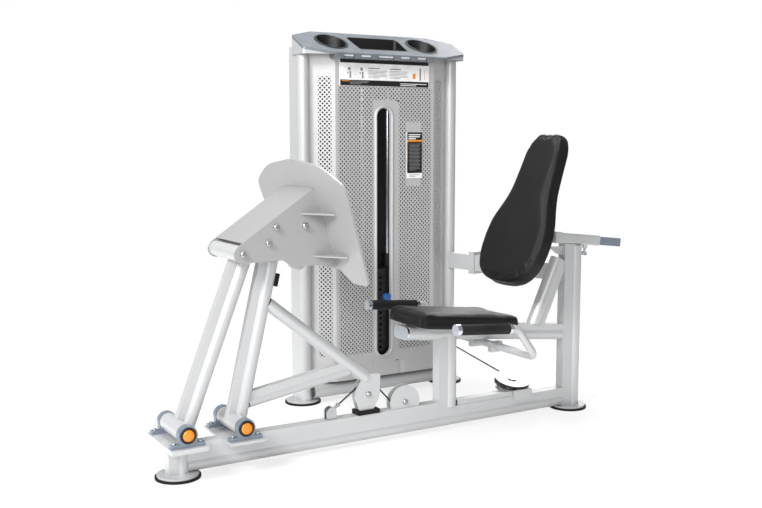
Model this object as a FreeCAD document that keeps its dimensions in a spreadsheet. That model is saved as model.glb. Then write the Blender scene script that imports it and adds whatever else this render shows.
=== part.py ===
"""Seated leg machine with a linkage foot plate and a cable-driven weight tower.

+X runs along the base beam towards the backrest, +Y towards the weight tower and +Z up.
The origin is the centre of the front foot's underside.  All sizes are millimetres.
"""
import FreeCAD, Part
import Sketcher
import math
import os

DOC = FreeCAD.newDocument("LegMachine")
V = FreeCAD.Vector
X_AXIS, Y_AXIS, Z_AXIS = V(1, 0, 0), V(0, 1, 0), V(0, 0, 1)

SIZES = {
    # post profile: a round bead with a narrower rib behind it
    "post_bead": 55, "post_rib": 40, "post_depth": 95, "tube_wall": 2.5,
    "seat_post_depth": 88,
    # base beam profile and its raised front part
    "beam_bead": 50, "beam_rib": 42, "beam_depth": 75, "raised_height": 23, "raised_width": 44,
    "channel_height": 20, "channel_width": 36, "channel_wall": 2.5,
    # feet
    "foot_pad_dia": 150, "foot_plate_dia": 138, "foot_pad_thick": 8, "foot_plate_thick": 6,
    # where the base stands
    "front_post_half": 37.5, "seat_post_x": 1012, "rear_post_x": 1620, "rear_post_top": 668,
    "brace_head_x": 1602, "brace_head_z": 616, "brace_angle": 65, "back_brace_depth": 66,
    # pillow bearings and pivots
    "pivot_a_z": 166, "pivot_b_x": 198, "pivot_b_z": 159, "bearing_span": 212, "bearing_width": 24,
    "bearing_ring": 64, "bearing_foot_length": 112, "bearing_foot_thick": 12, "shaft_dia": 25,
    "shaft_play": 0.05, "cap_dia": 38, "cap_thick": 4, "seal_dia": 53, "seal_thick": 2,
    # arms
    "arm_bead": 50, "arm_rib": 28, "arm_depth": 72, "hub_dia": 60, "hub_gap": 2,
    "knee_a_x": 191, "knee_a_z": 730, "knee_b_x": 308, "knee_b_z": 811,
    "front_knee_dia": 52, "rear_knee_dia": 46, "knee_offset": 48, "knee_lap": 22,
    "knee_pin_dia": 16, "open_pivot_play": 9,
    # lever triangle
    "brace_dia": 45, "strut_bead": 38, "strut_rib": 28, "strut_depth": 56,
    "brace_top_z": 545, "brace_end_x": 703, "brace_end_z": 246, "strut_z": 224, "strut_end_z": 286,
    "cheek_thick": 6, "cheek_gap": 21, "lever_pulley_x": 711, "lever_pulley_z": 184,
    "stop_pad_length": 88, "stop_pad_thick": 16, "stop_pad_width": 50, "rest_gap": 0.3,
    # pulleys and cable
    "cable_dia": 6, "pulley_width": 16, "groove_play": 0.3, "lever_pulley_r": 45, "beam_pulley_r": 35,
    "beam_pulley_x": 867, "beam_pulley_z": 134, "beam_cheek_r": 62, "turn_pulley_r": 50,
    "turn_pulley_x": 1410, "turn_tilt": 15, "turn_cover_r": 70, "riser_x": 1350, "top_pulley_z": 1385,
    "tower_pulley_r": 30, "top_pulley_r": 40, "axle_dia": 12, "anchor_x": 563, "anchor_z": 136,
    # carriage and foot plate
    "carriage_width": 230, "side_plate_thick": 6, "foot_face_x": 532, "foot_face_z": 669,
    "cover_thick": 2, "cover_start": 21, "boss_dia": 18, "boss_length": 26, "bolt_dia": 20, "bolt_head": 6,
    "foot_face_lean": 18, "foot_face_thick": 8, "foot_face_width": 660, "foot_face_rise": 374,
    # seat
    "seat_tilt": 6.1, "seat_front_x": 865, "seat_front_z": 391, "seat_bead": 48, "seat_rib": 36,
    "seat_rib_height": 17, "seat_plate_thick": 4, "seat_pad_thick": 54, "seat_pad_length": 446,
    "seat_pad_width": 284, "seat_sleeve_width": 98, "seat_sleeve_length": 145,
    # handles
    "grip_half_span": 300, "grip_dia": 37, "handle_dia": 28, "grip_length": 210,
    # backrest
    "back_lean": 23.5, "back_x": 1288, "back_z": 545, "back_length": 632, "back_width": 376,
    "back_thick": 58, "slide_tilt": 6.5,
    # weight tower
    "tower_left_x": 768, "tower_right_x": 1486, "stack_x": 1118, "tower_front_y": 550, "tower_post_y": 575,
    "tower_post_bead": 52, "tower_post_rib": 46, "tower_post_depth": 104, "tower_post_top": 1462,
    "panel_left_x": 888, "panel_right_x": 1366, "panel_bottom_z": 86, "panel_top_z": 1440,
    "wing_width": 94, "wing_depth": 50,
    "cap_front_y": 497, "cap_rear_y": 686, "cap_front_z": 1436, "cap_rear_z": 1532, "cap_low_z": 1429,
    "cap_overhang": 30, "cap_wall": 3, "cap_top_thick": 8, "cap_middle_x": 1112, "cap_middle_y": 594,
    "cup_offset": 219, "cup_dia": 126, "cup_depth": 43, "cup_rim": 8, "tray_half": 124, "tray_depth": 30,
    "sheet_thick": 2, "slot_width": 68, "slot_bottom_z": 174, "slot_top_z": 1221,
    # weight stack
    "plate_width": 270, "plate_depth": 96, "plate_thick": 24, "plate_pitch": 25, "plate_count": 17,
    "plates_lifted": 4, "guide_rod_dia": 25, "guide_spacing": 126, "guide_plate_z": 1326, "selector_dia": 24,
    "stack_bottom_z": 92, "head_thick": 28, "head_sleeve_height": 86,
}

sheet = DOC.addObject("Spreadsheet::Sheet", "Sizes")
for row, (alias, size) in enumerate(SIZES.items(), start=1):
    sheet.set(f"A{row}", alias)
    sheet.set(f"B{row}", str(size))
    sheet.setAlias(f"B{row}", alias)
DOC.recompute()

PIECES = {}


def size(alias):
    """Value of one driving dimension."""
    return float(sheet.get(alias))


def bind(item, **formulas):
    """Tie properties of an object to sheet cells; $name stands for a cell."""
    for prop, formula in formulas.items():
        if isinstance(formula, str):
            item.setExpression(prop, formula.replace("$", "Sizes."))
        else:
            setattr(item, prop, formula)
    return item


def place(item, origin=V(0, 0, 0), rotation=None):
    item.Placement = FreeCAD.Placement(origin, rotation or FreeCAD.Rotation())
    return item


def node(item, label):
    """Add an object to the piece, or group of like pieces, that is written under this label."""
    PIECES.setdefault(label, []).append(item)
    return item


def aim(direction, side=X_AXIS):
    """Rotation whose local Z follows direction and whose local X keeps close to side."""
    z = V(direction).normalize()
    x = V(side) - z * z.dot(side)
    return FreeCAD.Rotation(x, V(), z, "ZXY")


# ---------------------------------------------------------------- building blocks

def box(length, width, height, origin=V(0, 0, 0), rotation=None):
    item = DOC.addObject("Part::Box", "Block")
    bind(item, Length=length, Width=width, Height=height)
    return place(item, origin, rotation)


def rod(radius, height, origin=V(0, 0, 0), direction=Z_AXIS):
    item = DOC.addObject("Part::Cylinder", "Rod")
    bind(item, Radius=radius, Height=height)
    return place(item, origin, aim(direction, X_AXIS if abs(direction.x) < 0.9 else Z_AXIS))


def fuse(*items):
    item = DOC.addObject("Part::MultiFuse", "Joined")
    item.Shapes = list(items)
    item.Refine = True
    return item


def group(*items):
    """Several separate solids kept as one piece."""
    item = DOC.addObject("Part::Compound", "Group")
    item.Links = list(items)
    return item


def cut(base, tool):
    item = DOC.addObject("Part::Cut", "Cut")
    item.Base, item.Tool = base, tool
    item.Refine = True
    return item


def disc_y(radius, thick, x, z, y_low):
    """A disc whose axis is Y, from y_low upwards."""
    return rod(radius, thick, V(x, y_low, z), Y_AXIS)


def keyhole(kind, length, start, direction, side=X_AXIS, shrink=None, depth=None):
    """Solid keyhole bar: bead on the +side face, rib behind it, centred on its depth."""
    depth = depth or f"{kind}_depth"
    less = size(shrink) if shrink else 0
    inset = f"${shrink}" if shrink else "0"
    turn = aim(direction, side)
    x, y = turn.multVec(X_AXIS), turn.multVec(Y_AXIS)
    bead_at = x * (size(depth) - size(f"{kind}_bead")) / 2
    corner = x * (less - size(depth) / 2) + y * (less - size(f"{kind}_rib") / 2)
    bead = bind(DOC.addObject("Part::Cylinder", "Bead"), Radius=f"${kind}_bead / 2 - {inset}", Height=length)
    rib = bind(DOC.addObject("Part::Box", "Rib"), Length=f"${depth} - ${kind}_bead / 2 - {inset}",
               Width=f"${kind}_rib - 2 * {inset}", Height=length)
    return fuse(place(bead, start + bead_at, turn), place(rib, start + corner, turn))


def keyhole_tube(kind, length, start, direction, side=X_AXIS, depth=None):
    """Hollow keyhole tube, open at its ends."""
    outer = keyhole(kind, length, start, direction, side, depth=depth)
    return cut(outer, keyhole(kind, length, start, direction, side, "tube_wall", depth))


def outline_sketch(body, points, role="XY_Plane", radii=None):
    """Closed sketch through points, with each corner rounded by its radius."""
    sketch = body.newObject("Sketcher::SketchObject", "Outline")
    plane = next(f for f in body.Origin.OriginFeatures if f.Role == role)
    sketch.AttachmentSupport, sketch.MapMode = [(plane, "")], "FlatFace"
    radii = radii or [0] * len(points)
    pts = [V(p[0], p[1], 0) for p in points]
    ends = []
    for i, corner in enumerate(pts):
        before = (pts[i - 1] - corner).normalize()
        after = (pts[(i + 1) % len(pts)] - corner).normalize()
        half = before.getAngle(after) / 2
        if radii[i] <= 0 or half > math.pi / 2 - 0.01:
            ends.append((corner, corner, None))
            continue
        reach = radii[i] / math.tan(half)
        first, last = corner + before * reach, corner + after * reach
        middle = corner + (before + after).normalize() * (radii[i] / math.sin(half) - radii[i])
        ends.append((first, last, middle))
    for i, (first, last, middle) in enumerate(ends):
        if middle is not None:
            sketch.addGeometry(Part.Arc(first, middle, last), False)
        following = ends[(i + 1) % len(ends)][0]
        if last.distanceToPoint(following) > 1e-6:
            sketch.addGeometry(Part.LineSegment(last, following), False)
    count = sketch.GeometryCount
    for i in range(count):
        sketch.addConstraint(Sketcher.Constraint("Block", i))
    return sketch


def slab(points, thick, radii=None, role="XY_Plane", holes=()):
    """PartDesign plate with a rounded outline; holes are (x, y, radius)."""
    body = DOC.addObject("PartDesign::Body", "Plate")
    sketch = outline_sketch(body, points, role, radii)
    for x, y, radius in holes:
        sketch.addGeometry(Part.Circle(V(x, y, 0), Z_AXIS, radius), False)
    pad = body.newObject("PartDesign::Pad", "Thickness")
    pad.Profile = sketch
    bind(pad, Length=thick)
    sketch.Visibility = False
    return body


UPRIGHT = FreeCAD.Rotation(X_AXIS, 90)


def inset_outline(points, inset):
    """Corners of an anticlockwise outline after every side has moved inwards by inset."""
    corners = [V(x, y, 0) for x, y in points]
    moved = []
    for i, corner in enumerate(corners):
        before = (corner - corners[i - 1]).normalize()
        after = (corners[(i + 1) % len(corners)] - corner).normalize()
        first, last = Z_AXIS.cross(before), Z_AXIS.cross(after)
        moved.append(corner + (first + last) * (inset / (1 + first.dot(last))))
    return [(point.x, point.y) for point in moved]


def side_slab(points, thick, y, radii=None, holes=()):
    """Plate drawn in X and Z whose far face is at y and whose near face is thick in front of it."""
    return place(slab(points, thick, radii, holes=holes), V(0, y, 0), UPRIGHT)


# ---------------------------------------------------------------- shared places

FOOT_TOP = size("foot_pad_thick") + size("foot_plate_thick")
BEAM_TOP = FOOT_TOP + size("beam_depth")
RAISED_TOP = BEAM_TOP + size("raised_height")
SEAT_POST_END = size("seat_post_x") + size("seat_post_depth")
PIVOT_A = V(0, 0, size("pivot_a_z"))
PIVOT_B = V(size("pivot_b_x"), 0, size("pivot_b_z"))
KNEE_A = V(size("knee_a_x"), 0, size("knee_a_z"))
KNEE_B = V(size("knee_b_x"), 0, size("knee_b_z"))
TOWER_X = size("stack_x")
TOWER_Y = size("tower_post_y") + size("tower_post_depth") / 2


def slope(degrees):
    """Unit vector along +X that falls by the given angle."""
    angle = math.radians(degrees)
    return V(math.cos(angle), 0, -math.sin(angle))


def across(direction):
    """Unit vector in the XZ plane, square to direction and upwards."""
    return V(-direction.z, 0, direction.x)


SEAT_DIR = slope(size("seat_tilt"))
SEAT_UP = across(SEAT_DIR)
SEAT_FRONT = V(size("seat_front_x"), 0, size("seat_front_z"))
SLIDE_DIR = slope(size("slide_tilt"))
SLIDE_UP = across(SLIDE_DIR)

CABLE_Z = size("beam_pulley_z") - size("beam_pulley_r")
LEVER_PULLEY = V(size("lever_pulley_x"), 0, size("lever_pulley_z"))
BEAM_PULLEY = V(size("beam_pulley_x"), 0, size("beam_pulley_z"))
CARRIAGE_HALF = size("carriage_width") / 2 - size("side_plate_thick")

# The turn pulley tips towards the tower, so its cable climbs as it crosses the gap.
TURN_TILT = math.radians(size("turn_tilt"))
TURN_AXIS = V(0, -math.sin(TURN_TILT), math.cos(TURN_TILT))
TURN_SIDE = V(0, math.cos(TURN_TILT), math.sin(TURN_TILT))
TURN_PULLEY = V(size("turn_pulley_x"), 0, CABLE_Z) + TURN_SIDE * size("turn_pulley_r")

# The cable then climbs inside the tower beside the weights.
RISER = V(size("riser_x"), TOWER_Y, 0)


def turn_exit():
    """Angle past square that the cable turns, the point where it leaves and its direction."""
    reach_x = RISER.x - TURN_PULLEY.x
    reach_side = (RISER.y - TURN_PULLEY.y) / TURN_SIDE.y
    distance = math.hypot(reach_x, reach_side)
    angle = math.atan2(reach_side, reach_x) - math.acos(size("turn_pulley_r") / distance)
    out = TURN_SIDE * math.cos(angle) - X_AXIS * math.sin(angle)
    normal = X_AXIS * math.cos(angle) + TURN_SIDE * math.sin(angle)
    return angle, TURN_PULLEY + normal * size("turn_pulley_r"), out


TURN_ANGLE, TURN_OUT, TURN_DIR = turn_exit()
FLAT_DIR = V(TURN_DIR.x, TURN_DIR.y, 0).normalize()
CLIMB = math.asin(TURN_DIR.z)
TOWER_AXIS = FLAT_DIR.cross(Z_AXIS)
TOWER_IN_XY = RISER - FLAT_DIR * (size("tower_pulley_r") * (1 - math.sin(CLIMB)))
TOWER_IN = TURN_OUT + TURN_DIR * ((TOWER_IN_XY.y - TURN_OUT.y) / TURN_DIR.y)
TOWER_PULLEY = (RISER - FLAT_DIR * size("tower_pulley_r")
                + Z_AXIS * (TOWER_IN.z + size("tower_pulley_r") * math.cos(CLIMB)))
TOP_REAR = V(size("riser_x") - size("top_pulley_r"), TOWER_Y, size("top_pulley_z"))
TOP_MIDDLE = V(TOWER_X + size("top_pulley_r"), TOWER_Y, size("top_pulley_z"))


# ---------------------------------------------------------------- base frame

def feet():
    """Round steel foot plates on rubber pads, under the base beam and the tower posts."""
    rear_x = size("rear_post_x") + size("post_depth") / 2
    spots = [(0, 0), (rear_x, 0), (size("tower_left_x"), TOWER_Y), (size("tower_right_x"), TOWER_Y)]
    for x, y in spots:
        node(rod("$foot_pad_dia / 2", "$foot_pad_thick", V(x, y, 0)), "foot_pads")
        plate = rod("$foot_plate_dia / 2", "$foot_plate_thick", V(x, y, size("foot_pad_thick")))
        node(plate, "foot_plates")


def base_beam():
    """Low beam between the front and rear posts, its raised front part and the cable channel."""
    half = size("front_post_half")
    lap = 12
    front_post = keyhole("beam", RAISED_TOP - FOOT_TOP, V(0, 0, FOOT_TOP), Z_AXIS)
    start = V(half - lap, 0, FOOT_TOP + size("beam_depth") / 2)
    beam = keyhole_tube("beam", size("rear_post_x") - start.x, start, X_AXIS, -Z_AXIS)
    node(cut(beam, front_post), "base_beam")
    node(keyhole_tube("beam", RAISED_TOP - FOOT_TOP, V(0, 0, FOOT_TOP), Z_AXIS), "base_beam")

    length = size("seat_post_x") - start.x
    corner = V(start.x, -size("raised_width") / 2, BEAM_TOP)
    shell = box(length, "$raised_width", "$raised_height", corner)
    hollow = box(length, "$raised_width - 2 * $tube_wall", "$raised_height - $tube_wall",
                 corner + Y_AXIS * size("tube_wall"))
    slot_half = size("beam_pulley_r") + 12
    slot = box(2 * slot_half, "$cheek_gap + 1", "$raised_height + 2",
               V(size("beam_pulley_x") - slot_half, -(size("cheek_gap") + 1) / 2, BEAM_TOP - 1))
    node(cut(cut(shell, hollow), fuse(slot, front_post)), "base_beam")

    channel_end = size("turn_pulley_x") - 42
    corner = V(SEAT_POST_END, -size("channel_width") / 2, BEAM_TOP)
    cover = box(channel_end - SEAT_POST_END, "$channel_width", "$channel_height", corner)
    inside = box(channel_end - SEAT_POST_END, "$channel_width - 2 * $channel_wall",
                 "$channel_height - $channel_wall", corner + V(0, size("channel_wall"), 0))
    pulley_space = rod("$turn_cover_r + 0.5", 60, TURN_PULLEY - TURN_AXIS * 30, TURN_AXIS)
    node(cut(cut(cover, inside), pulley_space), "cable_channel")


def posts():
    """Seat post and rear post."""
    cable_way = rod("$cable_dia / 2 + 4", SEAT_POST_END - size("seat_post_x") + 20,
                    V(size("seat_post_x") - 10, 0, CABLE_Z), X_AXIS)
    middle = V(size("seat_post_x") + size("seat_post_depth") / 2, 0, BEAM_TOP)
    post = keyhole_tube("post", size("seat_front_z") - BEAM_TOP, middle, Z_AXIS, depth="seat_post_depth")
    saddle = rod("$seat_bead / 2", 400, SEAT_FRONT, SEAT_DIR)
    above = box(400, 200, 100, SEAT_FRONT + V(0, -100, 0), FreeCAD.Rotation(Y_AXIS, size("seat_tilt")))
    node(cut(cut(post, fuse(saddle, above)), cable_way), "seat_post")

    middle = V(size("rear_post_x") + size("post_depth") / 2, 0, FOOT_TOP)
    node(keyhole_tube("post", size("rear_post_top") - FOOT_TOP, middle, Z_AXIS), "rear_post")


def flat_oval(length, start, inset=0):
    """Round-sided bar along the seat beam, as wide as the sleeve under the cushion."""
    radius = size("seat_bead") / 2 - inset
    reach = (size("seat_sleeve_width") - size("seat_bead")) / 2
    sides = [rod(radius, length, start + Y_AXIS * (side * reach), SEAT_DIR) for side in (-1, 1)]
    corner = start - Y_AXIS * reach - SEAT_UP * radius
    return fuse(box(length, 2 * reach, 2 * radius, corner, FreeCAD.Rotation(Y_AXIS, size("seat_tilt"))), *sides)


def seat_frame():
    """Sloping seat beam with its flat front sleeve, rear rib, plug and the brace up to the rear post."""
    run = (size("rear_post_x") - size("seat_front_x")) / SEAT_DIR.x
    beyond = box(200, 200, 900, V(size("rear_post_x"), -100, 0))
    sleeve_length, wall = size("seat_sleeve_length"), size("tube_wall")
    start = SEAT_FRONT + SEAT_DIR * sleeve_length
    outer = rod("$seat_bead / 2", run + 60 - sleeve_length, start, SEAT_DIR)
    inner = rod("$seat_bead / 2 - $tube_wall", run + 60 - sleeve_length, start, SEAT_DIR)
    node(cut(cut(outer, inner), beyond), "seat_beam")
    sleeve = cut(flat_oval(sleeve_length, SEAT_FRONT), flat_oval(sleeve_length - wall, SEAT_FRONT, wall))
    node(sleeve, "seat_beam")

    face_thick, plug_length = 8, 16
    node(fuse(flat_oval(plug_length, SEAT_FRONT, wall),
              flat_oval(face_thick, SEAT_FRONT - SEAT_DIR * face_thick)), "chrome_caps")

    rib_from = size("seat_pad_length") + 12
    seat_r = size("seat_bead") / 2
    sunk = seat_r - math.sqrt(seat_r ** 2 - (size("seat_rib") / 2) ** 2)
    corner = SEAT_FRONT + SEAT_DIR * rib_from + SEAT_UP * (seat_r - sunk) - Y_AXIS * size("seat_rib") / 2
    rib = box(run - rib_from + 60, "$seat_rib", size("seat_rib_height") + sunk, corner,
              FreeCAD.Rotation(Y_AXIS, size("seat_tilt")))
    round_top = rod("$seat_bead / 2", run + 60, SEAT_FRONT, SEAT_DIR)
    node(cut(rib, fuse(round_top, box(200, 200, 900, V(size("rear_post_x"), -100, 0)))), "seat_beam")

    rib_top = on_seat(0, -100, seat_r + size("seat_rib_height"))
    below = box(1000, 200, 300, rib_top - SEAT_UP * 300, FreeCAD.Rotation(Y_AXIS, size("seat_tilt")))
    node(cut(brace_bar(keyhole_tube), fuse(below, box(400, 200, 900, V(size("rear_post_x"), -100, 0)))),
         "back_brace")


def brace_bar(profile):
    """Bar of the brace before its ends are trimmed; profile is keyhole or keyhole_tube."""
    head = V(size("brace_head_x"), 0, size("brace_head_z"))
    rise = -slope(180 - size("brace_angle"))
    return profile("post", 340, head - rise * 340, rise, across(rise), depth="back_brace_depth")


# ---------------------------------------------------------------- pivots

def pillow_bearings(pivot, riser):
    """Mounting plate with two pillow bearings, their seals and end caps, at one arm pivot."""
    length, foot = size("bearing_foot_length"), size("bearing_foot_thick")
    span, width, ring_r = size("bearing_span"), size("bearing_width"), size("bearing_ring") / 2
    plate_top = RAISED_TOP + riser
    node(box("$bearing_foot_length + 10", "$bearing_span + 36", riser,
             V(pivot.x - length / 2 - 5, -span / 2 - 18, RAISED_TOP)), "bearing_plates")
    housings, seals, caps = [], [], []
    for side in (-1, 1):
        low = side * (span / 2 - width / 2) - width / 2
        foot_box = box("$bearing_foot_length", "$bearing_width + 2", "$bearing_foot_thick",
                       V(pivot.x - length / 2, low - 1, plate_top))
        neck = box("$bearing_ring * 0.94", "$bearing_width", pivot.z - plate_top,
                   V(pivot.x - ring_r * 0.94, low, plate_top))
        ring = disc_y("$bearing_ring / 2", "$bearing_width", pivot.x, pivot.z, low)
        bore = disc_y("$shaft_dia / 2 + $shaft_play", "$bearing_width + 20", pivot.x, pivot.z, low - 10)
        housings.append(cut(fuse(foot_box, neck, ring), bore))
        seal_y = low - size("seal_thick") if side < 0 else low + width
        seal = disc_y("$seal_dia / 2", "$seal_thick", pivot.x, pivot.z, seal_y)
        seals.append(cut(seal, disc_y("$shaft_dia / 2 + 1", "$seal_thick", pivot.x, pivot.z, seal_y)))
        cap_y = seal_y - size("cap_thick") if side < 0 else seal_y + size("seal_thick")
        caps.append(disc_y("$cap_dia / 2", "$cap_thick", pivot.x, pivot.z, cap_y))
    node(group(*housings), "pillow_bearings")
    node(group(*seals), "bearing_seals")
    node(group(*caps), "bearing_caps")


def pivot_shaft(pivot, name):
    """Shaft carried by the two pillow bearings, and the arm's hub tube around it."""
    reach = size("bearing_span") / 2
    node(disc_y("$shaft_dia / 2", "$bearing_span", pivot.x, pivot.z, -reach), f"{name}_arm_hubs")
    hub_half = reach - size("bearing_width") - size("hub_gap")
    hub = disc_y("$hub_dia / 2", 2 * hub_half, pivot.x, pivot.z, -hub_half)
    node(cut(hub, disc_y("$shaft_dia / 2", 2 * hub_half, pivot.x, pivot.z, -hub_half)), f"{name}_arm_hubs")


def arm(pivot, knee, lean, name, pin_play):
    """Keyhole arm tube between its hub and its knee hub; the knee sits behind the tube."""
    up = V(math.sin(math.radians(lean)), 0, math.cos(math.radians(lean)))
    ahead = V(up.z, 0, -up.x)
    top = knee + ahead * size("knee_offset") + up * size("knee_lap")
    length = (top - pivot).dot(up)
    start = top - up * length
    tube = keyhole_tube("arm", length, start, up, ahead)
    lower_hub = disc_y("$hub_dia / 2", 200, pivot.x, pivot.z, -100)
    knee_r = f"${name}_knee_dia / 2"
    upper_hub = disc_y(knee_r, 300, knee.x, knee.z, -150)
    node(cut(tube, fuse(lower_hub, upper_hub)), f"{name}_arm_tube")

    half = CARRIAGE_HALF - 1
    hub = disc_y(knee_r, 2 * half, knee.x, knee.z, -half)
    bore = disc_y(size("knee_pin_dia") / 2 + pin_play, 2 * half, knee.x, knee.z, -half)
    node(cut(hub, bore), f"{name}_arm_hubs")
    return start, up, ahead


# ---------------------------------------------------------------- lever triangle and pulleys

def lever(start, up, ahead):
    """Brace and strut welded to the rear arm, with the two cheek plates of the lever pulley."""
    def arm_point(z):
        return start + up * ((z - start.z) / up.z)

    top = arm_point(size("brace_top_z")) + X_AXIS * 30
    end = V(size("brace_end_x"), 0, size("brace_end_z"))
    along = (end - top).normalize()
    bead_x = (size("arm_depth") - size("arm_bead")) / 2
    arm_bead = rod("$arm_bead / 2", 760, start + ahead * bead_x, up)
    outer = rod("$brace_dia / 2", (end - top).Length, top, along)
    inner = rod("$brace_dia / 2 - $tube_wall", (end - top).Length, top, along)
    pulley_space = disc_y("$lever_pulley_r + 9", "$cheek_gap", LEVER_PULLEY.x, LEVER_PULLEY.z,
                          -size("cheek_gap") / 2)
    node(cut(cut(outer, inner), fuse(arm_bead, pulley_space)), "lever_triangle")
    node(cut(rod("$brace_dia / 2", 4, end, along), pulley_space), "lever_triangle")

    bumper_low = arm_point(612) + ahead * (size("arm_depth") / 2 - 4) - Y_AXIS * 11
    bumper = box(18, 22, 44, bumper_low, aim(up, ahead))
    node(cut(bumper, rod("$arm_bead / 2", 760, start + ahead * bead_x, up)), "arm_bumper")

    low = arm_point(size("strut_z")) + X_AXIS * 28
    high = V(size("brace_end_x") - 70, 0, size("strut_end_z"))
    bar = (high - low).normalize()
    strut = keyhole_tube("strut", (high - low).Length, low, bar, -across(bar))
    node(cut(strut, fuse(rod("$arm_bead / 2", 760, start + ahead * bead_x, up),
                         rod("$brace_dia / 2", 600, top, along))), "lever_triangle")

    x, z, r = size("lever_pulley_x"), size("lever_pulley_z"), size("lever_pulley_r") + 12
    stop_top = RAISED_TOP + size("stop_pad_thick") + size("rest_gap")
    outline = [(x - 0.68 * r, stop_top), (x + 0.40 * r, stop_top), (x + 0.80 * r, z),
               (x + 0.86 * r, z + 1.22 * r), (x - 0.2 * r, z + 1.34 * r), (x - 0.98 * r, z + 0.2 * r)]
    cheeks = []
    for y in (-size("cheek_gap") / 2, size("cheek_gap") / 2 + size("cheek_thick")):
        plate = side_slab(outline, "$cheek_thick", y, [6] * len(outline))
        cheeks.append(plate)
    tube_way = rod("$brace_dia / 2", (end - top).Length + 4, top, along)
    node(cut(group(*cheeks), tube_way), "lever_cheeks")


def grooved_pulley(pitch_r, centre, axis, name):
    """Nylon pulley turned with a round-bottomed cable groove, bored for its axle."""
    half, cable_r = size("pulley_width") / 2, size("cable_dia") / 2 + size("groove_play")
    rim = pitch_r + cable_r + 2
    bore = size("axle_dia") / 2 + size("shaft_play")
    body = DOC.addObject("PartDesign::Body", "Pulley")
    sketch = body.newObject("Sketcher::SketchObject", "Section")
    plane = next(f for f in body.Origin.OriginFeatures if f.Role == "XZ_Plane")
    sketch.AttachmentSupport, sketch.MapMode = [(plane, "")], "FlatFace"
    mouth = cable_r + 1.5
    corners = [V(bore, -half, 0), V(rim, -half, 0), V(rim, -mouth, 0), V(pitch_r, -cable_r, 0),
               V(pitch_r, cable_r, 0), V(rim, mouth, 0), V(rim, half, 0), V(bore, half, 0)]
    for i, corner in enumerate(corners):
        following = corners[(i + 1) % len(corners)]
        if i == 3:
            sketch.addGeometry(Part.Arc(corner, V(pitch_r - cable_r, 0, 0), following), False)
        else:
            sketch.addGeometry(Part.LineSegment(corner, following), False)
    turned = body.newObject("PartDesign::Revolution", "Turned")
    turned.Profile = sketch
    turned.ReferenceAxis = (sketch, ["V_Axis"])
    turned.Angle = 360
    sketch.Visibility = False
    node(place(body, centre, aim(axis, X_AXIS if abs(axis.x) < 0.9 else Z_AXIS)), name)


def axle(centre, axis, length, name):
    axis = V(axis).normalize()
    node(rod("$axle_dia / 2", length, centre - axis * (length / 2), axis), name)


def pulleys():
    """Every cable pulley with its axle or cheeks."""
    gap, thick = size("cheek_gap"), size("cheek_thick")
    grooved_pulley(size("lever_pulley_r"), LEVER_PULLEY, Y_AXIS, "lever_pulley")
    axle(LEVER_PULLEY, Y_AXIS, gap + 2 * thick + 8, "lever_cheeks")
    grooved_pulley(size("beam_pulley_r"), BEAM_PULLEY, Y_AXIS, "beam_pulley")
    axle(BEAM_PULLEY, Y_AXIS, gap + 2 * thick + 8, "pulley_axles")
    cheeks = []
    for y in (-gap / 2 - thick, gap / 2):
        disc = disc_y("$beam_cheek_r", "$cheek_thick", BEAM_PULLEY.x, BEAM_PULLEY.z, y)
        under = box(200, thick, 200, V(BEAM_PULLEY.x - 100, y, RAISED_TOP - 200))
        hole = disc_y("$axle_dia / 2", "$cheek_thick", BEAM_PULLEY.x, BEAM_PULLEY.z, y)
        cheeks.append(cut(disc, fuse(under, hole)))
    node(group(*cheeks), "pulley_brackets")
    grooved_pulley(size("turn_pulley_r"), TURN_PULLEY, TURN_AXIS, "turn_pulley")
    grooved_pulley(size("tower_pulley_r"), TOWER_PULLEY, TOWER_AXIS, "tower_pulley")
    for name, centre in (("rear", TOP_REAR), ("middle", TOP_MIDDLE)):
        grooved_pulley(size("top_pulley_r"), centre, Y_AXIS, f"top_pulley_{name}")


def turn_station():
    """Bracket, cover and bolt that hold the tilted turn pulley beside the base beam."""
    tilt = aim(TURN_AXIS, X_AXIS)
    x, wall_low = size("turn_pulley_x"), FOOT_TOP + size("beam_bead") + 2
    face_y = -size("beam_rib") / 2
    wall = box(86, 10, CABLE_Z + 13 - wall_low, V(x - 43, face_y - 10, wall_low))
    half = size("pulley_width") / 2
    shelf = rod("$turn_cover_r - 8", 4, TURN_PULLEY - TURN_AXIS * (half + 6), TURN_AXIS)
    ahead = box(400, 300, 400, V(x - 200, -300 - face_y, 0))
    tab = box(60, 4, 30, V(x - 30, -face_y, BEAM_TOP - 28))
    bolt_low = TURN_PULLEY - TURN_AXIS * (half + 12)
    bolt_way = rod("$axle_dia / 2", 2 * half + 26, bolt_low, TURN_AXIS)
    node(cut(fuse(cut(shelf, ahead), tab), bolt_way), "pulley_brackets")
    top = TURN_PULLEY + TURN_AXIS * (half + 2)
    node(cut(wall, rod("$turn_cover_r + 0.3", 60, top - TURN_AXIS * 0.3, TURN_AXIS)), "pulley_brackets")
    lid = rod("$turn_cover_r", 20, top, TURN_AXIS)
    front = box(400, 300, 400, V(x - 200, face_y - 310, 0))
    hollow = rod("$turn_cover_r - 4", 14, top, TURN_AXIS)
    node(cut(cut(lid, hollow), front), "turn_pulley_cover")
    bolt = rod("$axle_dia / 2", 2 * half + 26, bolt_low, TURN_AXIS)
    node(bolt, "pulley_axles")
    node(rod(17, 4, top + TURN_AXIS * 20, TURN_AXIS), "pulley_axles")


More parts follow.
